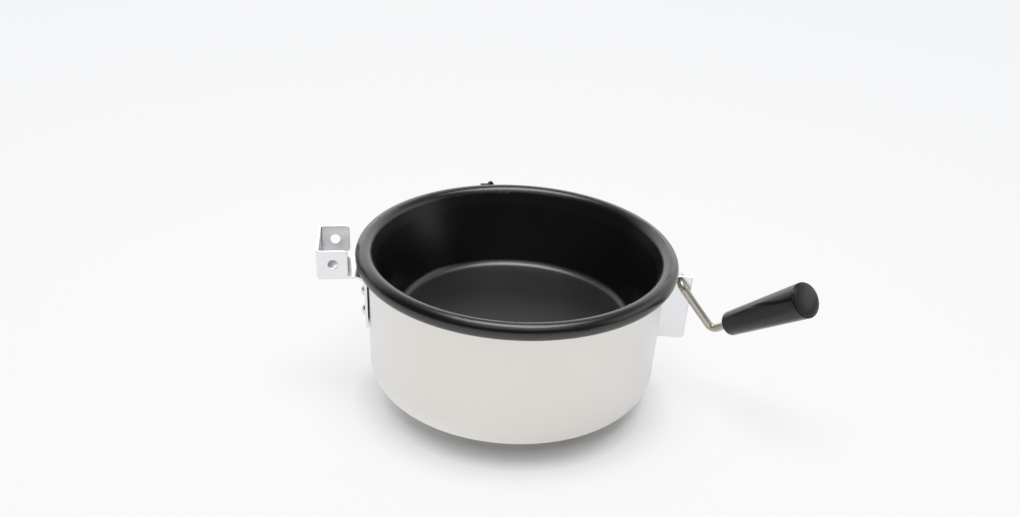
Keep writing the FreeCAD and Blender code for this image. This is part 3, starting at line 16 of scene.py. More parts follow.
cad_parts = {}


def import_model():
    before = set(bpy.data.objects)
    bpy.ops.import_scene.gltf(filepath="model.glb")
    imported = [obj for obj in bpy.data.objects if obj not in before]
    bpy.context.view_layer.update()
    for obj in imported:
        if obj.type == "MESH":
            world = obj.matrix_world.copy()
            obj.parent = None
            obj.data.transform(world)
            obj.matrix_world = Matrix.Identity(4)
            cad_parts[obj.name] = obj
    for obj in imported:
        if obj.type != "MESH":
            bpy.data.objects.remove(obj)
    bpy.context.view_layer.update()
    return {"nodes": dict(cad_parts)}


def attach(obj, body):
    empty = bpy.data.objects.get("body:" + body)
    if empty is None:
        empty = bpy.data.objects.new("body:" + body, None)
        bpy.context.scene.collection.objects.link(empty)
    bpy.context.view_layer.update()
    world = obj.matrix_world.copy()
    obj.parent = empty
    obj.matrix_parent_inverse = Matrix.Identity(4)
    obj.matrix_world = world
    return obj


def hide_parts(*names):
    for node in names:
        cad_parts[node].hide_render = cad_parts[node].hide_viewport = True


LOG = logging.getLogger("popcorn_kettle")
MILLIMETRE = 0.001
VECTOR = "NodeSocketVector"
FLOAT = "NodeSocketFloat"

Colour = tuple[float, float, float]
Point = tuple[float, float, float]
Socket = bpy.types.NodeSocket
# A ring of a turned section is its radius and height, and a corner adds its rounding.
RingPoint = tuple[float, float]
Corner = tuple[float, float, float]
# A span is two values between which a ramp goes from 0 to 1, and a band adds its own two results.
Span = tuple[float, float]
Band = tuple[float, float, float, float]


class Body(Enum):
    """The bodies that move on their own."""

    KETTLE = "kettle"
    HANDLE = "handle"
    GRIP = "grip"


class Slot(Enum):
    """Material slots of the record, one for each kind of new piece."""

    PLATED = "plated_sheet"
    INNER_SHEET = "inner_sheet"
    FASTENER = "small_fasteners"
    GRIP = "grip_plastic"
    CAP = "cap_plastic"
    HEAT_PLATE = "heat_plate_metal"
    CERAMIC = "ceramic"
    BOX = "box_sheet"
    INLET = "inlet_plastic"


class Group(Enum):
    """Effects that more than one finish uses, each one shader node group."""

    EDGE_WEAR = "edge_wear"
    CLOUDING = "clouding"
    SCRATCHES = "fine_scratches"
    BRUSHING = "brushed_lines"
    RINGS = "turned_lines"


# ------------------------------------------------------------------ nodes
class NodeBoard:
    """Adds and joins the nodes of one tree."""

    def __init__(self, tree: bpy.types.NodeTree) -> None:
        """Clears the tree and takes it.

        Args:
            tree: the node tree of a material, a world or a group.
        """
        self.tree = tree
        tree.nodes.clear()

    def add(self, kind: str, values: dict[str | int, Any] | None = None, **settings: Any) -> bpy.types.Node:
        """Adds a node.

        Args:
            kind: the node's type name.
            values: what each input gets, by its name or number.
            settings: the node's own settings.

        Returns:
            The node.
        """
        node = self.tree.nodes.new(kind)
        for name, value in settings.items():
            setattr(node, name, value)
        for name, value in (values or {}).items():
            self.feed(value, node.inputs[name])
        return node

    def feed(self, value: Any, target: Socket) -> None:
        """Gives an input what it needs.

        Args:
            value: an output to link, or a number, vector or colour.
            target: the input.
        """
        if isinstance(value, Socket):
            self.tree.links.new(value, target)
        elif target.type == "RGBA":
            target.default_value = (*value, 1.0)
        else:
            target.default_value = value

    def math(self, operation: str, first: Any, second: Any = 0.0, clamp: bool = False) -> Socket:
        """Works out one number from two; a clamped one stays between 0 and 1."""
        return self.add("ShaderNodeMath", {0: first, 1: second}, operation=operation,
                        use_clamp=clamp).outputs[0]

    def blend(self, share: Socket, first: Any, second: float) -> Socket:
        """Goes from one number to another by a share."""
        gap = self.math("SUBTRACT", first, second)
        return self.math("SUBTRACT", first, self.math("MULTIPLY", share, gap))

    def weigh(self, first: Socket, second: Socket, share: float) -> Socket:
        """Adds two values, the second with its share and the first with what is left."""
        return self.math("ADD", self.math("MULTIPLY", first, 1.0 - share),
                         self.math("MULTIPLY", second, share))

    def ramp(self, source: Socket, low: float, high: float,
             to_low: float = 0.0, to_high: float = 1.0) -> Socket:
        """Maps a range of a value to another range, held at its ends."""
        return self.add("ShaderNodeMapRange", {"Value": source, "From Min": low, "From Max": high,
                                               "To Min": to_low, "To Max": to_high}).outputs["Result"]

    def mix(self, factor: Any, first: Any, second: Any) -> Socket:
        """Mixes two colours."""
        return self.add("ShaderNodeMix", {0: factor, 6: first, 7: second}, data_type="RGBA").outputs[2]

    def noise(self, place: Socket, scale: Any, detail: float, roughness: float,
              distortion: float = 0.0) -> Socket:
        """Gives a noise between 0 and 1."""
        return self.add("ShaderNodeTexNoise", {
            "Vector": place, "Scale": scale, "Detail": detail, "Roughness": roughness,
            "Distortion": distortion}).outputs["Fac"]

    def split(self, vector: Socket) -> tuple[Socket, ...]:
        """Takes a vector apart into its three numbers."""
        return tuple(self.add("ShaderNodeSeparateXYZ", {0: vector}).outputs)

    def effect(self, group: Group, values: dict[str, Any]) -> bpy.types.NodeOutputs:
        """Places a shared effect and gives its outputs."""
        return self.add("ShaderNodeGroup", values, node_tree=effect_tree(group)).outputs


def new_group(group: Group, inputs: dict[str, str],
              outputs: dict[str, str]) -> tuple[NodeBoard, bpy.types.NodeOutputs]:
    """Makes an empty node group with its sockets.

    Args:
        group: the effect it is for.
        inputs: socket type by name.
        outputs: socket type by name.

    Returns:
        The board of the new tree, and what the group is given, by name.
    """
    tree = bpy.data.node_groups.new(group.value, "ShaderNodeTree")
    board = NodeBoard(tree)
    for way, sockets in (("INPUT", inputs), ("OUTPUT", outputs)):
        for name, kind in sockets.items():
            tree.interface.new_socket(name, in_out=way, socket_type=kind)
    return board, board.add("NodeGroupInput").outputs


def make_edge_wear() -> None:
    """Mask of the edges that hands and cloths rub, broken up by noise."""
    board, given = new_group(Group.EDGE_WEAR, {"Coordinates": VECTOR, "Width": FLOAT, "Amount": FLOAT},
                             {"Mask": FLOAT})
    bevel = board.add("ShaderNodeBevel", {"Radius": given["Width"]}, samples=4)
    flat = board.add("ShaderNodeNewGeometry")
    facing = board.add("ShaderNodeVectorMath", {0: bevel.outputs[0], 1: flat.outputs["Normal"]},
                       operation="DOT_PRODUCT")
    flat_cosine, edge_cosine = 0.995, 0.80
    edge = board.ramp(facing.outputs["Value"], flat_cosine, edge_cosine)
    patches = board.noise(given["Coordinates"], 420.0, detail=4.0, roughness=0.65)
    broken = board.ramp(patches, low=0.38, high=0.62)
    worn = board.math("MULTIPLY", edge, broken)
    board.add("NodeGroupOutput", {"Mask": board.math("MULTIPLY", worn, given["Amount"], clamp=True)})


def make_clouding() -> None:
    """Soft large and small patches, as handling leaves on any finish."""
    board, given = new_group(Group.CLOUDING, {"Coordinates": VECTOR, "Scale": FLOAT, "Contrast": FLOAT},
                             {"Value": FLOAT})
    middle, small_share, times_finer = 0.5, 0.3, 7.3
    large = board.noise(given["Coordinates"], given["Scale"], detail=3.0, roughness=0.55, distortion=0.4)
    small = board.noise(given["Coordinates"], board.math("MULTIPLY", given["Scale"], times_finer),
                        detail=5.0, roughness=0.6)
    offset = board.math("SUBTRACT", board.weigh(large, small, small_share), middle)
    swing = board.math("MULTIPLY", offset, given["Contrast"])
    board.add("NodeGroupOutput", {"Value": board.math("ADD", swing, middle, clamp=True)})


def make_scratches() -> None:
    """Sparse hairlines in two directions, in patches."""
    board, given = new_group(Group.SCRATCHES, {"Coordinates": VECTOR, "Amount": FLOAT}, {"Mask": FLOAT})
    density, line_width, middle = 90.0, 0.006, 0.5
    lines = []
    for turn, stretch in (((0.55, 0.385, 1.045), (1.0, 14.0, 3.0)), ((-0.9, -0.63, -1.71), (12.0, 1.0, 5.0))):
        place = board.add("ShaderNodeMapping", {"Vector": given["Coordinates"], "Rotation": turn,
                                                "Scale": stretch}).outputs[0]
        noise = board.noise(place, density, detail=2.0, roughness=0.5, distortion=0.15)
        offset = board.math("ABSOLUTE", board.math("SUBTRACT", noise, middle))
        lines.append(board.ramp(offset, low=0.0, high=line_width, to_low=1.0, to_high=0.0))
    patches = board.noise(given["Coordinates"], 45.0, detail=2.0, roughness=0.5)
    sparse = board.math("MULTIPLY", board.math("MAXIMUM", *lines), board.ramp(patches, low=0.5, high=0.68))
    board.add("NodeGroupOutput", {"Mask": board.math("MULTIPLY", sparse, given["Amount"], clamp=True)})


def make_brushing() -> None:
    """Straight drawn lines: noise that is stretched along one direction."""
    board, given = new_group(Group.BRUSHING, {"Coordinates": VECTOR, "Spacing": VECTOR}, {"Height": FLOAT})
    stretched = board.add("ShaderNodeVectorMath", {0: given["Coordinates"], 1: given["Spacing"]},
                          operation="MULTIPLY").outputs[0]
    board.add("NodeGroupOutput", {"Height": board.noise(stretched, 1.0, detail=3.0, roughness=0.6)})


def make_rings() -> None:
    """Fine lines and broad streaks round the kettle's axis, as spinning and polishing leave them."""
    board, given = new_group(Group.RINGS, {"Coordinates": VECTOR, "Spacing": FLOAT},
                             {"Height": FLOAT, "Streaks": FLOAT})
    x, y, z = board.split(given["Coordinates"])
    turn = board.math("ARCTAN2", y, x)
    across = board.add("ShaderNodeCombineXYZ", {"X": x, "Y": y}).outputs[0]
    radius = board.add("ShaderNodeVectorMath", {0: across}, operation="LENGTH").outputs["Value"]
    height_weight = 1.7
    along = board.math("ADD", radius, board.math("MULTIPLY", z, height_weight))
    lines = board.math("MULTIPLY", along, given["Spacing"])
    results = {}
    for name, share, swing, detail, roughness in (("Height", 1.0, 1.6, 4.0, 0.65),
                                                  ("Streaks", 0.04, 2.6, 3.0, 0.5)):
        place = board.add("ShaderNodeCombineXYZ", {
            "X": board.math("MULTIPLY", lines, share),
            "Y": board.math("MULTIPLY", board.math("SINE", turn), swing),
            "Z": board.math("MULTIPLY", board.math("COSINE", turn), swing)}).outputs[0]
        results[name] = board.noise(place, 1.0, detail, roughness)
    board.add("NodeGroupOutput", results)


EFFECT_MAKERS: dict[Group, Callable[[], None]] = {
    Group.EDGE_WEAR: make_edge_wear,
    Group.CLOUDING: make_clouding,
    Group.SCRATCHES: make_scratches,
    Group.BRUSHING: make_brushing,
    Group.RINGS: make_rings,
}


def effect_tree(group: Group) -> bpy.types.NodeTree:
    """Gives an effect's node group, made at its first use.

    Args:
        group: the effect.

    Returns:
        The node group.
    """
    if group.value not in bpy.data.node_groups:
        EFFECT_MAKERS[group]()
    return bpy.data.node_groups[group.value]


# --------------------------------------------------------------- finishes
@dataclass(frozen=True)
class Zone:
    """A band of heights where a finish has numbers of its own."""

    band: Band  # two heights, and the zone's share at each
    colour: Colour
    roughness: float
    specular: float


@dataclass(frozen=True)
class Finish:
    """A finish: its colours, its gloss and the marks that making and use leave on it.

    Widths and heights are in metres; cloud_scale, grain, rings and pits say how many of a pattern's
    features go into a metre, grain along X, Y and Z.
    """

    name: str
    colour: Colour
    tint: Colour
    roughness: float
    roughness_swing: float = 0.08
    metallic: float = 0.0
    specular: float = 0.5
    anisotropy: float = 0.0
    coat: float = 0.0
    coat_roughness: float = 0.1
    sheen: float = 0.0
    cloud_scale: float = 30.0
    cloud_contrast: float = 2.2
    tone_range: Span = (0.2, 0.8)
    scratch: float = 0.3
    scratch_dulling: float = 0.12
    scratch_depth: float = 0.5
    wear: float = 0.0
    wear_width: float = 0.0006
    wear_colour: Colour = (0.7, 0.7, 0.7)
    grain: Point | None = None
    grain_share: float = 0.4
    rings: float = 0.0
    streak_share: float = 0.65
    bump: float = 0.02
    bump_height: float = 0.00005
    pits: float = 0.0
    zones: tuple[Zone, ...] = ()
    # Painted sheen: the colour that a grazing view turns to, and the facing range over which it does.
    painted_edge_sheen: Colour | None = None
    painted_sheen_range: Span = (0.35, 0.85)

    def material(self) -> bpy.types.Material:
        """Gives the finish's material, made at its first use.

        Returns:
            The material.
        """
        found = bpy.data.materials.get(self.name)
        if found:
            return found
        made = bpy.data.materials.new(self.name)
        made.use_nodes = True
        board = NodeBoard(made.node_tree)
        place = board.add("ShaderNodeTexCoord").outputs["Object"]
        scratch = board.effect(Group.SCRATCHES, {"Coordinates": place, "Amount": self.scratch})["Mask"]
        tone, relief = self.texture(board, place)
        colour = self.coloured(board, place, tone)
        rough = board.ramp(tone, *self.tone_range, self.roughness - self.roughness_swing,
                           self.roughness + self.roughness_swing)
        specular = self.specular
        for zone in self.zones:
            share = board.ramp(board.split(place)[2], *zone.band)
            colour = board.mix(share, colour, zone.colour)
            rough = board.blend(share, rough, zone.roughness)
            specular = board.blend(share, specular, zone.specular)
        rough = board.math("ADD", rough, board.math("MULTIPLY", scratch, self.scratch_dulling), clamp=True)
        surface = board.math("MULTIPLY", scratch, -self.scratch_depth)
        if relief is not None:
            surface = board.math("ADD", surface, relief)
        bump = board.add("ShaderNodeBump", {"Height": surface, "Strength": self.bump,
                                            "Distance": self.bump_height})
        shader = board.add("ShaderNodeBsdfPrincipled", {
            "Base Color": colour, "Roughness": rough, "Normal": bump.outputs[0], "Metallic": self.metallic,
            "Specular IOR Level": specular, "Anisotropic": self.anisotropy, "Coat Weight": self.coat,
            "Coat Roughness": self.coat_roughness, "Sheen Weight": self.sheen})
        board.add("ShaderNodeOutputMaterial", {"Surface": shader.outputs[0]})
        return made

    def texture(self, board: NodeBoard, place: Socket) -> tuple[Socket, Socket | None]:
        """Makes the finish's pattern.

        Args:
            board: the material's board.
            place: the object's coordinates.

        Returns:
            The pattern's tone, and its relief where it has one.
        """
        tone = cloud = board.effect(Group.CLOUDING, {"Coordinates": place, "Scale": self.cloud_scale,
                                                     "Contrast": self.cloud_contrast})["Value"]
        relief = None
        if self.grain:
            relief = board.effect(Group.BRUSHING, {"Coordinates": place, "Spacing": self.grain})["Height"]
            tone = board.weigh(cloud, relief, self.grain_share)
        if self.rings:
            turned = board.effect(Group.RINGS, {"Coordinates": place, "Spacing": self.rings})
            relief = turned["Height"]
            tone = board.weigh(cloud, turned["Streaks"], self.streak_share)
        if self.pits:
            relief = board.noise(place, self.pits, detail=4.0, roughness=0.7)
        return tone, relief

    def coloured(self, board: NodeBoard, place: Socket, tone: Socket) -> Socket:
        """Colours the finish, with its worn edges and a painted sheen that turns the colour paler and more
        neutral towards a grazing view.

        Args:
            board: the material's board.
            place: the object's coordinates.
            tone: the pattern's tone.

        Returns:
            The colour.
        """
        colour = board.mix(tone, self.colour, self.tint)
        if self.wear:
            worn = board.effect(Group.EDGE_WEAR, {"Coordinates": place, "Width": self.wear_width,
                                                  "Amount": self.wear})["Mask"]
            colour = board.mix(worn, colour, self.wear_colour)
        # Painted sheen: towards a grazing view the colour turns paler and more neutral.
        if self.painted_edge_sheen:
            facing = board.add("ShaderNodeLayerWeight", {"Blend": 0.5}).outputs["Facing"]
            colour = board.mix(board.ramp(facing, *self.painted_sheen_range), colour, self.painted_edge_sheen)
        return colour


# The shell's colour turns paler and more neutral towards a grazing view: a painted sheen.
SHELL = Finish("satin_spun_shell", (0.86, 0.832, 0.797), (0.89, 0.866, 0.835), 0.55, 0.03, metallic=1.0,
               anisotropy=0.2, cloud_scale=14.0, scratch=0.06, rings=2600.0, bump=0.08,
               painted_edge_sheen=(0.895, 0.893, 0.890))
NON_STICK = Finish("baked_non_stick_coat", (0.003, 0.003, 0.0028), (0.0045, 0.0045, 0.0042), 0.25, 0.02,
                   specular=0.8, cloud_scale=24.0, scratch=0.08, pits=2600.0, bump=0.05,
                   # First zone: the lighter grey ring where the floor rounds into the wall is a painted
                   # highlight.
                   zones=(Zone((0.0562, 0.0585, 1.0, 0.0), (0.045, 0.045, 0.045), 0.33, 1.0),
                          # Second zone: the floor is rougher and less glossy, and its lighter grey is a
                          # painted reflection in place of that gloss; the third zone is the rim's own gloss.
                          Zone((0.0547, 0.0552, 1.0, 0.0), (0.019, 0.019, 0.019), 0.38, 0.27),
                          Zone((0.0985, 0.1015, 0.0, 1.0), (0.004, 0.004, 0.004), 0.30, 0.88)))
PLATED = Finish("bright_plated_sheet", (0.82, 0.825, 0.835), (0.85, 0.854, 0.863), 0.24, 0.02, metallic=1.0,
                cloud_scale=45.0, scratch=0.10, grain=(60.0, 60.0, 1400.0), bump=0.03)
INNER_SHEET = Finish("inner_sheet_metal", (0.55, 0.55, 0.56), (0.62, 0.62, 0.63), 0.38, 0.08, metallic=1.0,
                     cloud_scale=40.0, scratch=0.6, grain=(50.0, 900.0, 900.0), bump=0.12)
RIVET = Finish("polished_rivet_metal", (0.70, 0.70, 0.71), (0.78, 0.78, 0.79), 0.24, 0.06, metallic=1.0,
               cloud_scale=160.0, scratch=0.5, wear=0.2)
ROD = Finish("nickel_plated_bar", (0.50, 0.47, 0.41), (0.56, 0.53, 0.47), 0.38, 0.04, metallic=1.0,
             cloud_scale=90.0, scratch=0.6, grain=(1600.0, 1600.0, 120.0), bump=0.08)
FASTENER = Finish("zinc_plated_fastener", (0.56, 0.57, 0.58), (0.66, 0.67, 0.68), 0.33, 0.09, metallic=1.0,
                  cloud_scale=120.0, scratch=0.5, wear=0.5, wear_width=0.0004, wear_colour=(0.8, 0.8, 0.8))
GRIP = Finish("glossy_phenolic_grip", (0.008, 0.008, 0.008), (0.011, 0.011, 0.011), 0.18, 0.02,
              specular=0.32, coat=0.2, coat_roughness=0.10, cloud_scale=50.0, scratch=0.15)
CAP = Finish("satin_moulded_cap", (0.020, 0.017, 0.018), (0.026, 0.022, 0.023), 0.25, 0.03,
             cloud_scale=90.0, scratch=0.5, pits=1500.0, bump=0.3)
HEAT_PLATE = Finish("rolled_heat_plate", (0.60, 0.60, 0.61), (0.70, 0.70, 0.71), 0.42, 0.08, metallic=1.0,
                    cloud_scale=30.0, scratch=0.6, grain=(900.0, 30.0, 900.0), bump=0.15)
ELEMENT = Finish("heat_tinted_element_tube", (0.20, 0.19, 0.17), (0.36, 0.31, 0.24), 0.48, 0.10, metallic=1.0,
                 cloud_scale=60.0, scratch=0.4, pits=900.0, bump=0.25)
FIBRE = Finish("pressed_mineral_fibre", (0.72, 0.69, 0.60), (0.84, 0.81, 0.74), 0.95, 0.04, sheen=0.3,
               cloud_scale=60.0, scratch=0.0, pits=700.0, bump=1.0)
CERAMIC = Finish("unglazed_ceramic", (0.72, 0.69, 0.61), (0.80, 0.78, 0.71), 0.55, 0.08,
                 cloud_scale=90.0, scratch=0.2, pits=1600.0, bump=0.3)
BRASS = Finish("bare_contact_brass", (0.66, 0.50, 0.22), (0.76, 0.60, 0.30), 0.27, 0.08, metallic=1.0,
               cloud_scale=160.0, scratch=0.6, wear=0.3, wear_colour=(0.9, 0.76, 0.45))
SLEEVE = Finish("woven_heat_sleeve", (0.66, 0.63, 0.55), (0.78, 0.76, 0.69), 0.85, 0.06, sheen=0.2,
                cloud_scale=120.0, scratch=0.0, grain=(2200.0, 2200.0, 2200.0), bump=0.8)
LIVE = Finish("brown_lead_sleeve", (0.115, 0.050, 0.026), (0.15, 0.068, 0.036), 0.42, 0.06,
              cloud_scale=90.0, scratch=0.2, pits=1200.0, bump=0.15)
NEUTRAL = Finish("blue_lead_sleeve", (0.020, 0.062, 0.24), (0.030, 0.085, 0.30), 0.42, 0.06,
                 cloud_scale=90.0, scratch=0.2, pits=1200.0, bump=0.15)
EARTH = Finish("green_lead_sleeve", (0.085, 0.22, 0.030), (0.11, 0.27, 0.042), 0.42, 0.06,
               cloud_scale=90.0, scratch=0.2, pits=1200.0, bump=0.15)
RUBBER = Finish("soft_black_rubber", (0.018, 0.018, 0.018), (0.030, 0.030, 0.029), 0.62, 0.08,
                cloud_scale=100.0, scratch=0.2, pits=1500.0, bump=0.35)
BOX_SHEET = Finish("satin_box_sheet", (0.62, 0.62, 0.62), (0.70, 0.70, 0.70), 0.32, 0.07, metallic=1.0,
                   cloud_scale=40.0, scratch=0.5, grain=(40.0, 40.0, 1300.0), bump=0.10,
                   wear=0.4, wear_colour=(0.82, 0.82, 0.82))
INLET_PLASTIC = Finish("black_thermoset", (0.014, 0.014, 0.015), (0.020, 0.020, 0.021), 0.40, 0.06,
                       cloud_scale=80.0, scratch=0.4, pits=1400.0, bump=0.25)

NODE_FINISHES: dict[Finish, tuple[str, ...]] = {
    SHELL: ("outer_shell",),
    NON_STICK: ("inner_pan",),
    PLATED: ("hinge_bracket", "handle_bracket"),
    INNER_SHEET: ("hinge_backing_plate", "handle_backing_plate", "element_cover", "heat_shield",
                  "cutout_clip"),
    RIVET: ("hinge_rivets", "handle_bracket_rivets", "inlet_rivets_left", "inlet_rivets_right"),
    ROD: ("handle_rod",),
    FASTENER: ("rear_washer", "spring_washer", "pivot_nut", "stop_ring", "grip_washer", "grip_nut",
               "pan_stud", "cover_washer", "cover_nut", "shield_post", "shield_spacer", "shield_nut",
               "thermostat_screws", "inlet_screws"),
    GRIP: ("handle_grip",),
    CAP: ("grip_cap",),
    HEAT_PLATE: ("heat_plate",),
    ELEMENT: ("heating_element",),
    FIBRE: ("insulation_mat",),
    CERAMIC: ("thermostat", "thermal_cutout", "terminal_block"),
    BRASS: ("terminal_screws", "earth_screw", "inlet_pins"),
    SLEEVE: ("element_leads",),
    LIVE: ("live_lead",),
    NEUTRAL: ("neutral_lead",),
    EARTH: ("earth_lead", "earth_link"),
    RUBBER: ("lead_grommet",),
    BOX_SHEET: ("inlet_box",),
    INLET_PLASTIC: ("inlet_body",),
}


# ----------------------------------------------------------------- studio
@dataclass(frozen=True)
class Lamp:
    """A rectangular softbox: its place, what it is turned to, its size in metres and its power in watts."""

    name: str
    place: Point
    target: Point
    size: Span
    power: float

    def hang(self) -> None:
        """Hangs the lamp in the scene."""
        data = bpy.data.lights.new(self.name, "AREA")
        data.shape = "RECTANGLE"
        data.size, data.size_y = self.size
        data.energy = self.power
        lamp = bpy.data.objects.new(self.name, data)
        bpy.context.scene.collection.objects.link(lamp)
        lamp.location = self.place
        lamp.rotation_euler = (Vector(self.target) - Vector(self.place)).to_track_quat("-Z", "Y").to_euler()


@dataclass(frozen=True)
class Studio:
    """Wide pale floor, soft lamps, the room round them and the camera."""

    camera_place: Point = (-0.0844, -1.19168, 0.70606)
    camera_right: Point = (0.99791, -0.041081, 0.049877)
    camera_up: Point = (-0.025946, 0.452172, 0.891553)
    lens: float = 63.565
    sensor_width: float = 36.0
    clip: Span = (0.05, 50.0)
    lamps: tuple[Lamp, ...] = (
        Lamp("overhead_softbox", (0.02, 0.05, 2.20), (0.0, 0.0, 0.05), (1.5, 1.2), 30.0),
        Lamp("front_canopy", (0.0, -1.35, 2.1), (0.0, 0.0, 0.05), (2.6, 1.0), 6.5),
        Lamp("rear_softbox", (0.0, 3.2, 1.25), (0.0, 0.0, 0.10), (5.0, 2.3), 20.0),
    )
    floor_radius: float = 9.0
    floor_thickness: float = 0.02
    floor_sides: int = 96
    floor_colour: Colour = (0.80, 0.80, 0.80)
    floor_seen: Colour = (0.925, 0.927, 0.932)
    near_colour: Colour = (0.955, 0.956, 0.960)
    backdrop_colour: Colour = (0.905, 0.913, 0.928)
    backdrop_reach: Span = (0.3, 1.1)
    # The share that glows without shadow as gloss sees it, by X and by distance.
    mirrored_glow: Band = (-0.05, 0.20, 0.75, 0.0)
    mirrored_far: Band = (0.45, 1.5, 0.0, 1.0)
    # By distance and as the camera sees it: a painted contact shadow that darkens the matt floor's colour
    # near the kettle, and two parts of the share that glows.
    shadow_centre: Point = (0.0, -0.03, 0.0)
    painted_shadow_core: Band = (0.068, 0.098, 0.46, 1.0)
    shadow_edge: Band = (0.083, 0.122, 0.0, 0.75)
    shadow_rest: Band = (0.13, 0.9, 0.0, 0.25)
    # Where gloss sees the pale screens behind and beside, by direction.
    behind_y: Span = (0.30, 0.60)
    behind_z: Span = (0.76, 0.60)
    beside_x: Span = (0.50, 0.85)
    beside_y: Span = (-0.50, -0.22)
    beside_low: Span = (0.08, 0.20)
    beside_high: Span = (0.80, 0.55)
    world_strength: float = 0.38
    dark_side: float = 0.04
    pale_side: float = 1.0

    def build(self) -> None:
        """Makes the camera, the lamps, the floor and the world."""
        self.place_camera()
        for lamp in self.lamps:
            lamp.hang()
        self.lay_floor()
        self.light_world()
        bpy.context.scene.view_settings.view_transform = "Standard"

    def place_camera(self) -> None:
        """Puts the camera at its viewing angle."""
        data = bpy.data.cameras.new("studio_camera")
        data.lens = self.lens
        data.sensor_width = self.sensor_width
        data.clip_start, data.clip_end = self.clip
        camera = bpy.data.objects.new("studio_camera", data)
        bpy.context.scene.collection.objects.link(camera)
        right = Vector(self.camera_right).normalized()
        back = right.cross(Vector(self.camera_up)).normalized()
        turn = Matrix((right, back.cross(right), back)).transposed().to_4x4()
        camera.matrix_world = Matrix.Translation(self.camera_place) @ turn
        bpy.context.scene.camera = camera

    def lay_floor(self) -> None:
        """Lays the wide round floor."""
        clear_selection()
        bpy.ops.mesh.primitive_circle_add(vertices=self.floor_sides, radius=self.floor_radius,
                                          fill_type="NGON")
        floor = bpy.context.object
        floor.name = "studio_floor"
        select_edges(floor, lambda a, b: True)
        bpy.ops.mesh.extrude_region_move(TRANSFORM_OT_translate={"value": (0.0, 0.0, -self.floor_thickness)})
        bpy.ops.object.mode_set(mode="OBJECT")
        floor.data.materials.append(self.floor_material())

    def floor_material(self) -> bpy.types.Material:
        """Makes the matt floor, which keeps its shadow near the kettle, deepened there by a painted shadow in
        its colour, and glows evenly further out.

        Returns:
            The material.
        """
        made = bpy.data.materials.new("studio_floor")
        made.use_nodes = True
        board = NodeBoard(made.node_tree)
        path = board.add("ShaderNodeLightPath").outputs
        direct = path["Is Camera Ray"]
        seen = board.math("MAXIMUM", board.math("MAXIMUM", direct, path["Is Glossy Ray"]),
                          path["Is Transmission Ray"])
        place = board.add("ShaderNodeTexCoord").outputs["Object"]
        reach = board.add("ShaderNodeVectorMath", {0: place, 1: self.shadow_centre},
                          operation="DISTANCE").outputs["Value"]
        # Painted shadow: near the kettle, the colour that the camera sees is darkened by distance.
        painted_shadow_colour = board.add("ShaderNodeVectorMath", {
            0: self.floor_seen, "Scale": board.ramp(reach, *self.painted_shadow_core)}, operation="SCALE").outputs[0]
        colour = board.mix(seen, self.floor_colour, board.mix(direct, self.floor_seen, painted_shadow_colour))
        matt = board.add("ShaderNodeBsdfDiffuse", {"Color": colour, "Roughness": 0.0})
        tone = board.mix(board.ramp(reach, *self.backdrop_reach), self.near_colour, self.backdrop_colour)
        glow = board.add("ShaderNodeEmission", {"Color": tone, "Strength": 1.0})
        fade = board.math("ADD", board.ramp(reach, *self.shadow_edge), board.ramp(reach, *self.shadow_rest))
        mirrored = board.math("MAXIMUM", board.ramp(board.split(place)[0], *self.mirrored_glow),
                              board.ramp(reach, *self.mirrored_far))
        share = board.math("ADD", board.math("MULTIPLY", fade, direct),
                           board.math("MULTIPLY", mirrored, board.math("SUBTRACT", seen, direct)))
        surface = board.add("ShaderNodeMixShader", {0: share, 1: matt.outputs[0], 2: glow.outputs[0]})
        board.add("ShaderNodeOutputMaterial", {"Surface": surface.outputs[0]})
        return made

    def light_world(self) -> None:
        """Lights evenly from all round, while gloss sees pale screens behind and beside in a dark room."""
        world = bpy.data.worlds.new("studio_world")
        bpy.context.scene.world = world
        world.use_nodes = True
        board = NodeBoard(world.node_tree)
        path = board.add("ShaderNodeLightPath").outputs
        x, y, z = board.split(board.add("ShaderNodeTexCoord").outputs["Generated"])
        behind = board.math("MULTIPLY", board.ramp(y, *self.behind_y), board.ramp(z, *self.behind_z))
        sideways = board.math("MULTIPLY", board.ramp(x, *self.beside_x), board.ramp(y, *self.beside_y))
        upright = board.math("MULTIPLY", board.ramp(z, *self.beside_low), board.ramp(z, *self.beside_high))
        pale = board.math("MAXIMUM", behind, board.math("MULTIPLY", sideways, upright))
        mirrored = board.ramp(pale, 0.0, 1.0, self.dark_side, self.pale_side)
        glossy = board.mix(path["Is Glossy Ray"], (self.world_strength,) * 3, mirrored)
        seen = board.mix(path["Is Camera Ray"], glossy, self.backdrop_colour)
        light = board.add("ShaderNodeBackground", {"Color": seen, "Strength": 1.0})
        board.add("ShaderNodeOutputWorld", {"Surface": light.outputs[0]})


# -------------------------------------------------------------- modelling
def clear_selection() -> None:
    """Leaves edit mode and deselects everything."""
    if bpy.context.object and bpy.context.object.mode != "OBJECT":
        bpy.ops.object.mode_set(mode="OBJECT")
    bpy.ops.object.select_all(action="DESELECT")


def select_edges(piece: bpy.types.Object, wanted: Callable[[Vector, Vector], bool]) -> None:
    """Selects edges by their place and enters edit mode.

    Args:
        piece: the active mesh object.
        wanted: says from an edge's two ends whether it is selected.
    """
    if piece.mode != "OBJECT":
        bpy.ops.object.mode_set(mode="OBJECT")
    mesh = piece.data
    for face in mesh.polygons:
        face.select = False
    for vertex in mesh.vertices:
        vertex.select = False
    for edge in mesh.edges:
        edge.select = wanted(*(mesh.vertices[index].co for index in edge.vertices))
        if edge.select:
            for index in edge.vertices:
                mesh.vertices[index].select = True
    bpy.ops.object.mode_set(mode="EDIT")
    bpy.ops.mesh.select_mode(type="EDGE")


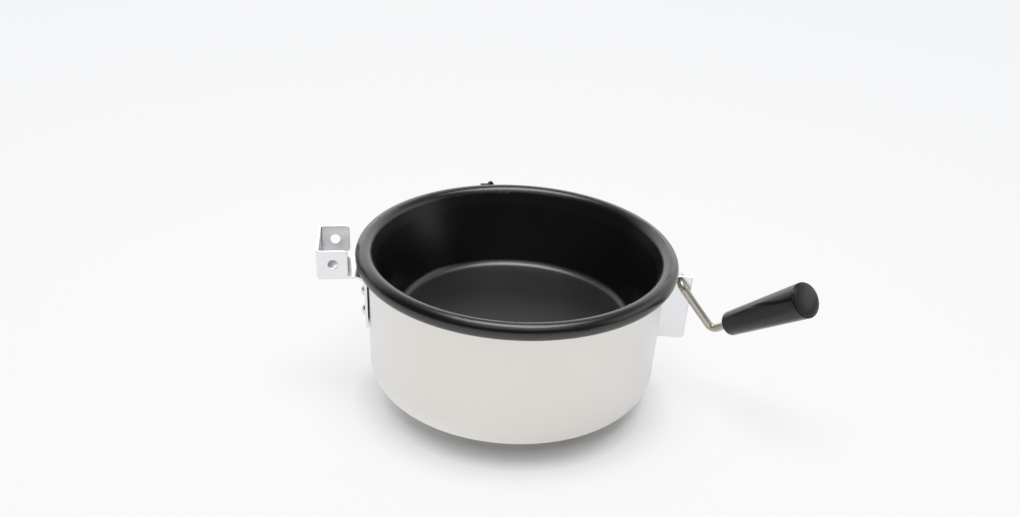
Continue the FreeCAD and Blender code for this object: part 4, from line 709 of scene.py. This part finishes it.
@dataclass(frozen=True)
class Lathe:
    """Turns a section round the Z axis, ring by ring."""

    segments: int = 128
    weld_gap: float = MILLIMETRE / 1000

    def turn(self, name: str, section: Sequence[RingPoint]) -> bpy.types.Object:
        """Turns a section that starts and ends on the axis, or that closes on itself.

        Args:
            name: the new piece's name.
            section: radius and height of each ring, in millimetres.

        Returns:
            The piece, with its Z axis as the turning axis.
        """
        closed = section[0][0] > 0.0 and section[-1][0] > 0.0
        rings = [ring for ring in section if ring[0] > 0.0]
        first, later = rings[0], rings[1:]
        clear_selection()
        bpy.ops.mesh.primitive_circle_add(vertices=self.segments, radius=first[0] * MILLIMETRE,
                                          location=(0.0, 0.0, first[1] * MILLIMETRE), fill_type="NOTHING")
        piece = bpy.context.object
        piece.name = name
        bpy.ops.object.transform_apply(location=True, rotation=True, scale=True)
        bpy.ops.object.mode_set(mode="EDIT")
        bpy.ops.mesh.select_mode(type="EDGE")
        bpy.ops.mesh.select_all(action="SELECT")
        for before, after in zip(rings, [*later, first] if closed else later):
            self.next_ring(before, after)
        if not closed:
            self.close_pole()
            bpy.ops.object.mode_set(mode="OBJECT")
            select_edges(piece, lambda a, b: self.lies_on(first, a) and self.lies_on(first, b))
            self.close_pole()
        bpy.ops.mesh.select_all(action="SELECT")
        bpy.ops.mesh.remove_doubles(threshold=self.weld_gap)
        bpy.ops.mesh.normals_make_consistent(inside=False)
        bpy.ops.object.mode_set(mode="OBJECT")
        return piece

    def lies_on(self, ring: RingPoint, place: Vector) -> bool:
        """Says whether a vertex lies on a ring."""
        radius, height = ring[0] * MILLIMETRE, ring[1] * MILLIMETRE
        return max(abs(place.xy.length - radius), abs(place.z - height)) < self.weld_gap

    def next_ring(self, before: RingPoint, after: RingPoint) -> None:
        """Extrudes the selected ring to the next one.

        Args:
            before: radius and height of the selected ring.
            after: radius and height of the next ring.
        """
        bpy.ops.mesh.extrude_region_move(TRANSFORM_OT_translate={
            "value": (0.0, 0.0, (after[1] - before[1]) * MILLIMETRE)})
        ratio = after[0] / before[0]
        bpy.ops.transform.resize(value=(ratio, ratio, 1.0), center_override=(0.0, 0.0, after[1] * MILLIMETRE))

    def close_pole(self) -> None:
        """Draws the selected ring together on the axis."""
        bpy.ops.mesh.extrude_region_move(TRANSFORM_OT_translate={"value": (0.0, 0.0, 0.0)})
        bpy.ops.mesh.merge(type="CENTER")


def rounded(corners: Sequence[Corner], steps: int = 6) -> list[RingPoint]:
    """Rounds the corners of a turned section.

    Args:
        corners: radius, height and rounding of each corner, in millimetres.
        steps: faces in each rounding.

    Returns:
        Radius and height of each ring.
    """
    rings: list[RingPoint] = []
    for index, (radius, height, rounding) in enumerate(corners):
        here = Vector((radius, height))
        if rounding <= 0.0:
            rings.append((radius, height))
            continue
        back = (Vector(corners[index - 1][:2]) - here).normalized()
        ahead = (Vector(corners[(index + 1) % len(corners)][:2]) - here).normalized()
        half = back.angle(ahead) / 2
        centre = here + (back + ahead).normalized() * (rounding / math.sin(half))
        start = here + back * (rounding / math.tan(half)) - centre
        end = here + ahead * (rounding / math.tan(half)) - centre
        for step in range(steps + 1):
            spoke = start.slerp(end, step / steps).normalized() * rounding
            rings.append(tuple(centre + spoke))
    return rings


def stand_along(piece: bpy.types.Object, start: Point, axis: Point) -> None:
    """Puts a piece that was turned round Z on another axis, with its place in its mesh.

    Args:
        piece: the turned piece.
        start: where its own origin goes, in metres.
        axis: direction that its Z axis takes.
    """
    clear_selection()
    piece.matrix_world = Matrix.Translation(start) @ Vector(axis).to_track_quat("Z", "X").to_matrix().to_4x4()
    piece.select_set(True)
    bpy.context.view_layer.objects.active = piece
    bpy.ops.object.transform_apply(location=True, rotation=True, scale=True)


def finish_piece(piece: bpy.types.Object, finish: Finish, body: Body, slot: Slot, *replaced: str,
                 smooth_angle: float = 32.0) -> None:
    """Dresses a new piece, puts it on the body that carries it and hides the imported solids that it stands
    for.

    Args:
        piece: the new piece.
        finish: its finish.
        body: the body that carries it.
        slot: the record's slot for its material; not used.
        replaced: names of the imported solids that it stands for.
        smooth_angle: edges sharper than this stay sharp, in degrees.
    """
    clear_selection()
    piece.select_set(True)
    bpy.context.view_layer.objects.active = piece
    bpy.ops.object.shade_smooth_by_angle(angle=math.radians(smooth_angle))
    piece.data.materials.clear()
    piece.data.materials.append(finish.material())
    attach(piece, body.value)
    if replaced:
        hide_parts(*replaced)
    LOG.info("%s: %d faces, %s", piece.name, len(piece.data.polygons), finish.name)


def flatten_shading(piece: bpy.types.Object, weight: int = 90) -> None:
    """Lets wide faces keep their own normals, so that only the roundings between them look curved.

    Args:
        piece: the active, finished piece.
        weight: how strongly wide faces prevail over narrow ones, up to 100; at 50 neither does.
    """
    weighed = piece.modifiers.new("flat_face_shading", "WEIGHTED_NORMAL")
    weighed.keep_sharp = True
    weighed.weight = weight
    bpy.ops.object.modifier_apply(modifier=weighed.name)


# ------------------------------------------------------------------ lever
@dataclass(frozen=True)
class Grip:
    """Moulded grip that turns on the lever's end, and the cap in its wide end.

    Sizes are in millimetres, the start in metres and the crown's rings in shares of the cap's radius.
    """

    start: Point = (0.1609136, -0.0182844, 0.0632451)
    axis: Point = (0.5201926, -0.6155648, 0.5920132)
    length: float = 81.6
    small_radius: float = 9.25
    big_radius: float = 13.5
    small_rounding: float = 2.6
    big_rounding: float = 1.15
    bore: float = 3.06
    ring_recess: float = 4.9
    ring_depth: float = 2.4
    pocket_radius: float = 7.0
    pocket_depth: float = 24.0
    mouth_rounding: float = 0.4
    seat_radius: float = 12.2
    seat_depth: float = 3.0
    seat_rounding: float = 0.12
    cap_radius: float = 12.05
    cap_edge: float = 3.7
    cap_rounding: float = 0.75
    cap_crown: float = 1.9
    crown_rings: tuple[float, ...] = (0.94, 0.85, 0.74, 0.62, 0.5, 0.38, 0.26, 0.14, 0.05)
    cap_smooth_angle: float = 40.0
    spigot_radius: float = 6.9
    spigot_length: float = 4.0
    spigot_rounding: float = 0.5
    spigot_wall: float = 1.6

    def build(self) -> None:
        """Makes and dresses the grip and its cap."""
        self.make_body()
        self.make_cap()

    def make_body(self) -> None:
        """Turns the tapered body with its bore, nut pocket and cap recess."""
        top = self.length
        seat = top - self.seat_depth
        pocket = top - self.pocket_depth
        section = rounded([
            (self.bore, self.ring_depth, 0.0), (self.ring_recess, self.ring_depth, 0.0),
            (self.ring_recess, 0.0, self.mouth_rounding), (self.small_radius, 0.0, self.small_rounding),
            (self.big_radius, top, self.big_rounding), (self.seat_radius, top, self.seat_rounding),
            (self.seat_radius, seat, 0.0), (self.pocket_radius, seat, self.mouth_rounding),
            (self.pocket_radius, pocket, 0.0), (self.bore, pocket, 0.0)])
        body = Lathe().turn("grip_moulding", section)
        stand_along(body, self.start, self.axis)
        finish_piece(body, GRIP, Body.GRIP, Slot.GRIP, "handle_grip")

    def make_cap(self) -> None:
        """Turns the crowned cap with its rounded edge and hollow spigot."""
        seat = self.length - self.seat_depth
        edge = seat + self.cap_edge
        foot = seat - self.spigot_length
        inside = self.spigot_radius - self.spigot_wall
        crown = [(self.cap_radius * share, edge + self.cap_crown * (1.0 - share * share))
                 for share in self.crown_rings]
        outside = rounded([(inside, foot, 0.0), (self.spigot_radius, foot, self.spigot_rounding),
                           (self.spigot_radius, seat, 0.0), (self.cap_radius, seat, 0.0),
                           (self.cap_radius, edge, self.cap_rounding), (*crown[0], 0.0)])
        section = [(0.0, seat), (inside, seat), *outside, *crown[1:], (0.0, edge + self.cap_crown)]
        cap = Lathe().turn("grip_end_cap", section)
        stand_along(cap, self.start, self.axis)
        finish_piece(cap, CAP, Body.GRIP, Slot.CAP, "grip_cap", smooth_angle=self.cap_smooth_angle)


# ------------------------------------------------------- brackets and nuts
@dataclass(frozen=True)
class RoundedPart:
    """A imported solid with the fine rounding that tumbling, punching or moulding leaves on its edges."""

    node: str
    name: str
    finish: Finish
    body: Body
    slot: Slot
    rounding: float = 0.25
    sharper_than: float = 32.0
    faces: int = 2
    weld_gap: float = MILLIMETRE / 200
    flat_angle: float = 0.8
    smooth_angle: float = 34.0

    def build(self, nodes: dict[str, bpy.types.Object]) -> None:
        """Copies the solid's mesh, joins it up and rounds its edges.

        Args:
            nodes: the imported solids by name.
        """
        piece = bpy.data.objects.new(self.name, nodes[self.node].data.copy())
        bpy.context.scene.collection.objects.link(piece)
        clear_selection()
        piece.select_set(True)
        bpy.context.view_layer.objects.active = piece
        if piece.data.has_custom_normals:
            bpy.ops.mesh.customdata_custom_splitnormals_clear()
        bpy.ops.object.mode_set(mode="EDIT")
        bpy.ops.mesh.select_all(action="SELECT")
        bpy.ops.mesh.remove_doubles(threshold=self.weld_gap)
        bpy.ops.mesh.dissolve_limited(angle_limit=math.radians(self.flat_angle), delimit={"NORMAL"})
        bpy.ops.mesh.normals_make_consistent(inside=False)
        bpy.ops.object.mode_set(mode="OBJECT")
        bevel = piece.modifiers.new("edge_rounding", "BEVEL")
        bevel.width = self.rounding * MILLIMETRE
        bevel.segments = self.faces
        bevel.limit_method = "ANGLE"
        bevel.angle_limit = math.radians(self.sharper_than)
        bevel.use_clamp_overlap = True
        bevel.harden_normals = False
        bpy.ops.object.modifier_apply(modifier=bevel.name)
        finish_piece(piece, self.finish, self.body, self.slot, self.node, smooth_angle=self.smooth_angle)
        flatten_shading(piece)


ROUNDED_PARTS: tuple[RoundedPart, ...] = (
    RoundedPart("hinge_bracket", "hinge_clevis", PLATED, Body.KETTLE, Slot.PLATED, 0.7, faces=4),
    RoundedPart("handle_bracket", "lever_bracket", PLATED, Body.KETTLE, Slot.PLATED, 0.35, faces=3),
    RoundedPart("inlet_box", "inlet_housing", BOX_SHEET, Body.KETTLE, Slot.BOX, 0.2),
    RoundedPart("inlet_body", "inlet_socket_moulding", INLET_PLASTIC, Body.KETTLE, Slot.INLET, 0.3, faces=3),
    RoundedPart("rear_washer", "pivot_washer", FASTENER, Body.HANDLE, Slot.FASTENER, 0.15),
    RoundedPart("pivot_nut", "pivot_hex_nut", FASTENER, Body.HANDLE, Slot.FASTENER, 0.2),
    RoundedPart("grip_nut", "grip_hex_nut", FASTENER, Body.HANDLE, Slot.FASTENER, 0.2),
    RoundedPart("cover_nut", "cover_hex_nut", FASTENER, Body.KETTLE, Slot.FASTENER, 0.2),
    RoundedPart("shield_nut", "shield_hex_nut", FASTENER, Body.KETTLE, Slot.FASTENER, 0.2),
    RoundedPart("heat_plate", "rounded_heat_plate", HEAT_PLATE, Body.KETTLE, Slot.HEAT_PLATE, 0.5, faces=3),
    RoundedPart("terminal_block", "moulded_terminal_block", CERAMIC, Body.KETTLE, Slot.CERAMIC,
                0.35, faces=3),
    RoundedPart("thermostat", "thermostat_housing", CERAMIC, Body.KETTLE, Slot.CERAMIC, 0.35, faces=3),
    RoundedPart("hinge_backing_plate", "hinge_spreader_plate", INNER_SHEET, Body.KETTLE, Slot.INNER_SHEET),
    RoundedPart("handle_backing_plate", "lever_spreader_plate", INNER_SHEET, Body.KETTLE, Slot.INNER_SHEET),
)


# ------------------------------------------------------------------- main
def dress_nodes(nodes: dict[str, bpy.types.Object]) -> None:
    """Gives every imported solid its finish.

    Args:
        nodes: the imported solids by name.
    """
    for finish, names in NODE_FINISHES.items():
        for name in names:
            nodes[name].data.materials.clear()
            nodes[name].data.materials.append(finish.material())
            LOG.info("%s: %s", name, finish.name)


def main() -> None:
    """Builds the studio and dresses the kettle."""
    logging.basicConfig(level=logging.INFO, format="%(name)s: %(message)s")
    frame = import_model()
    Studio().build()
    dress_nodes(frame["nodes"])
    Grip().build()
    for part in ROUNDED_PARTS:
        part.build(frame["nodes"])


if __name__ == "__main__":
    main()
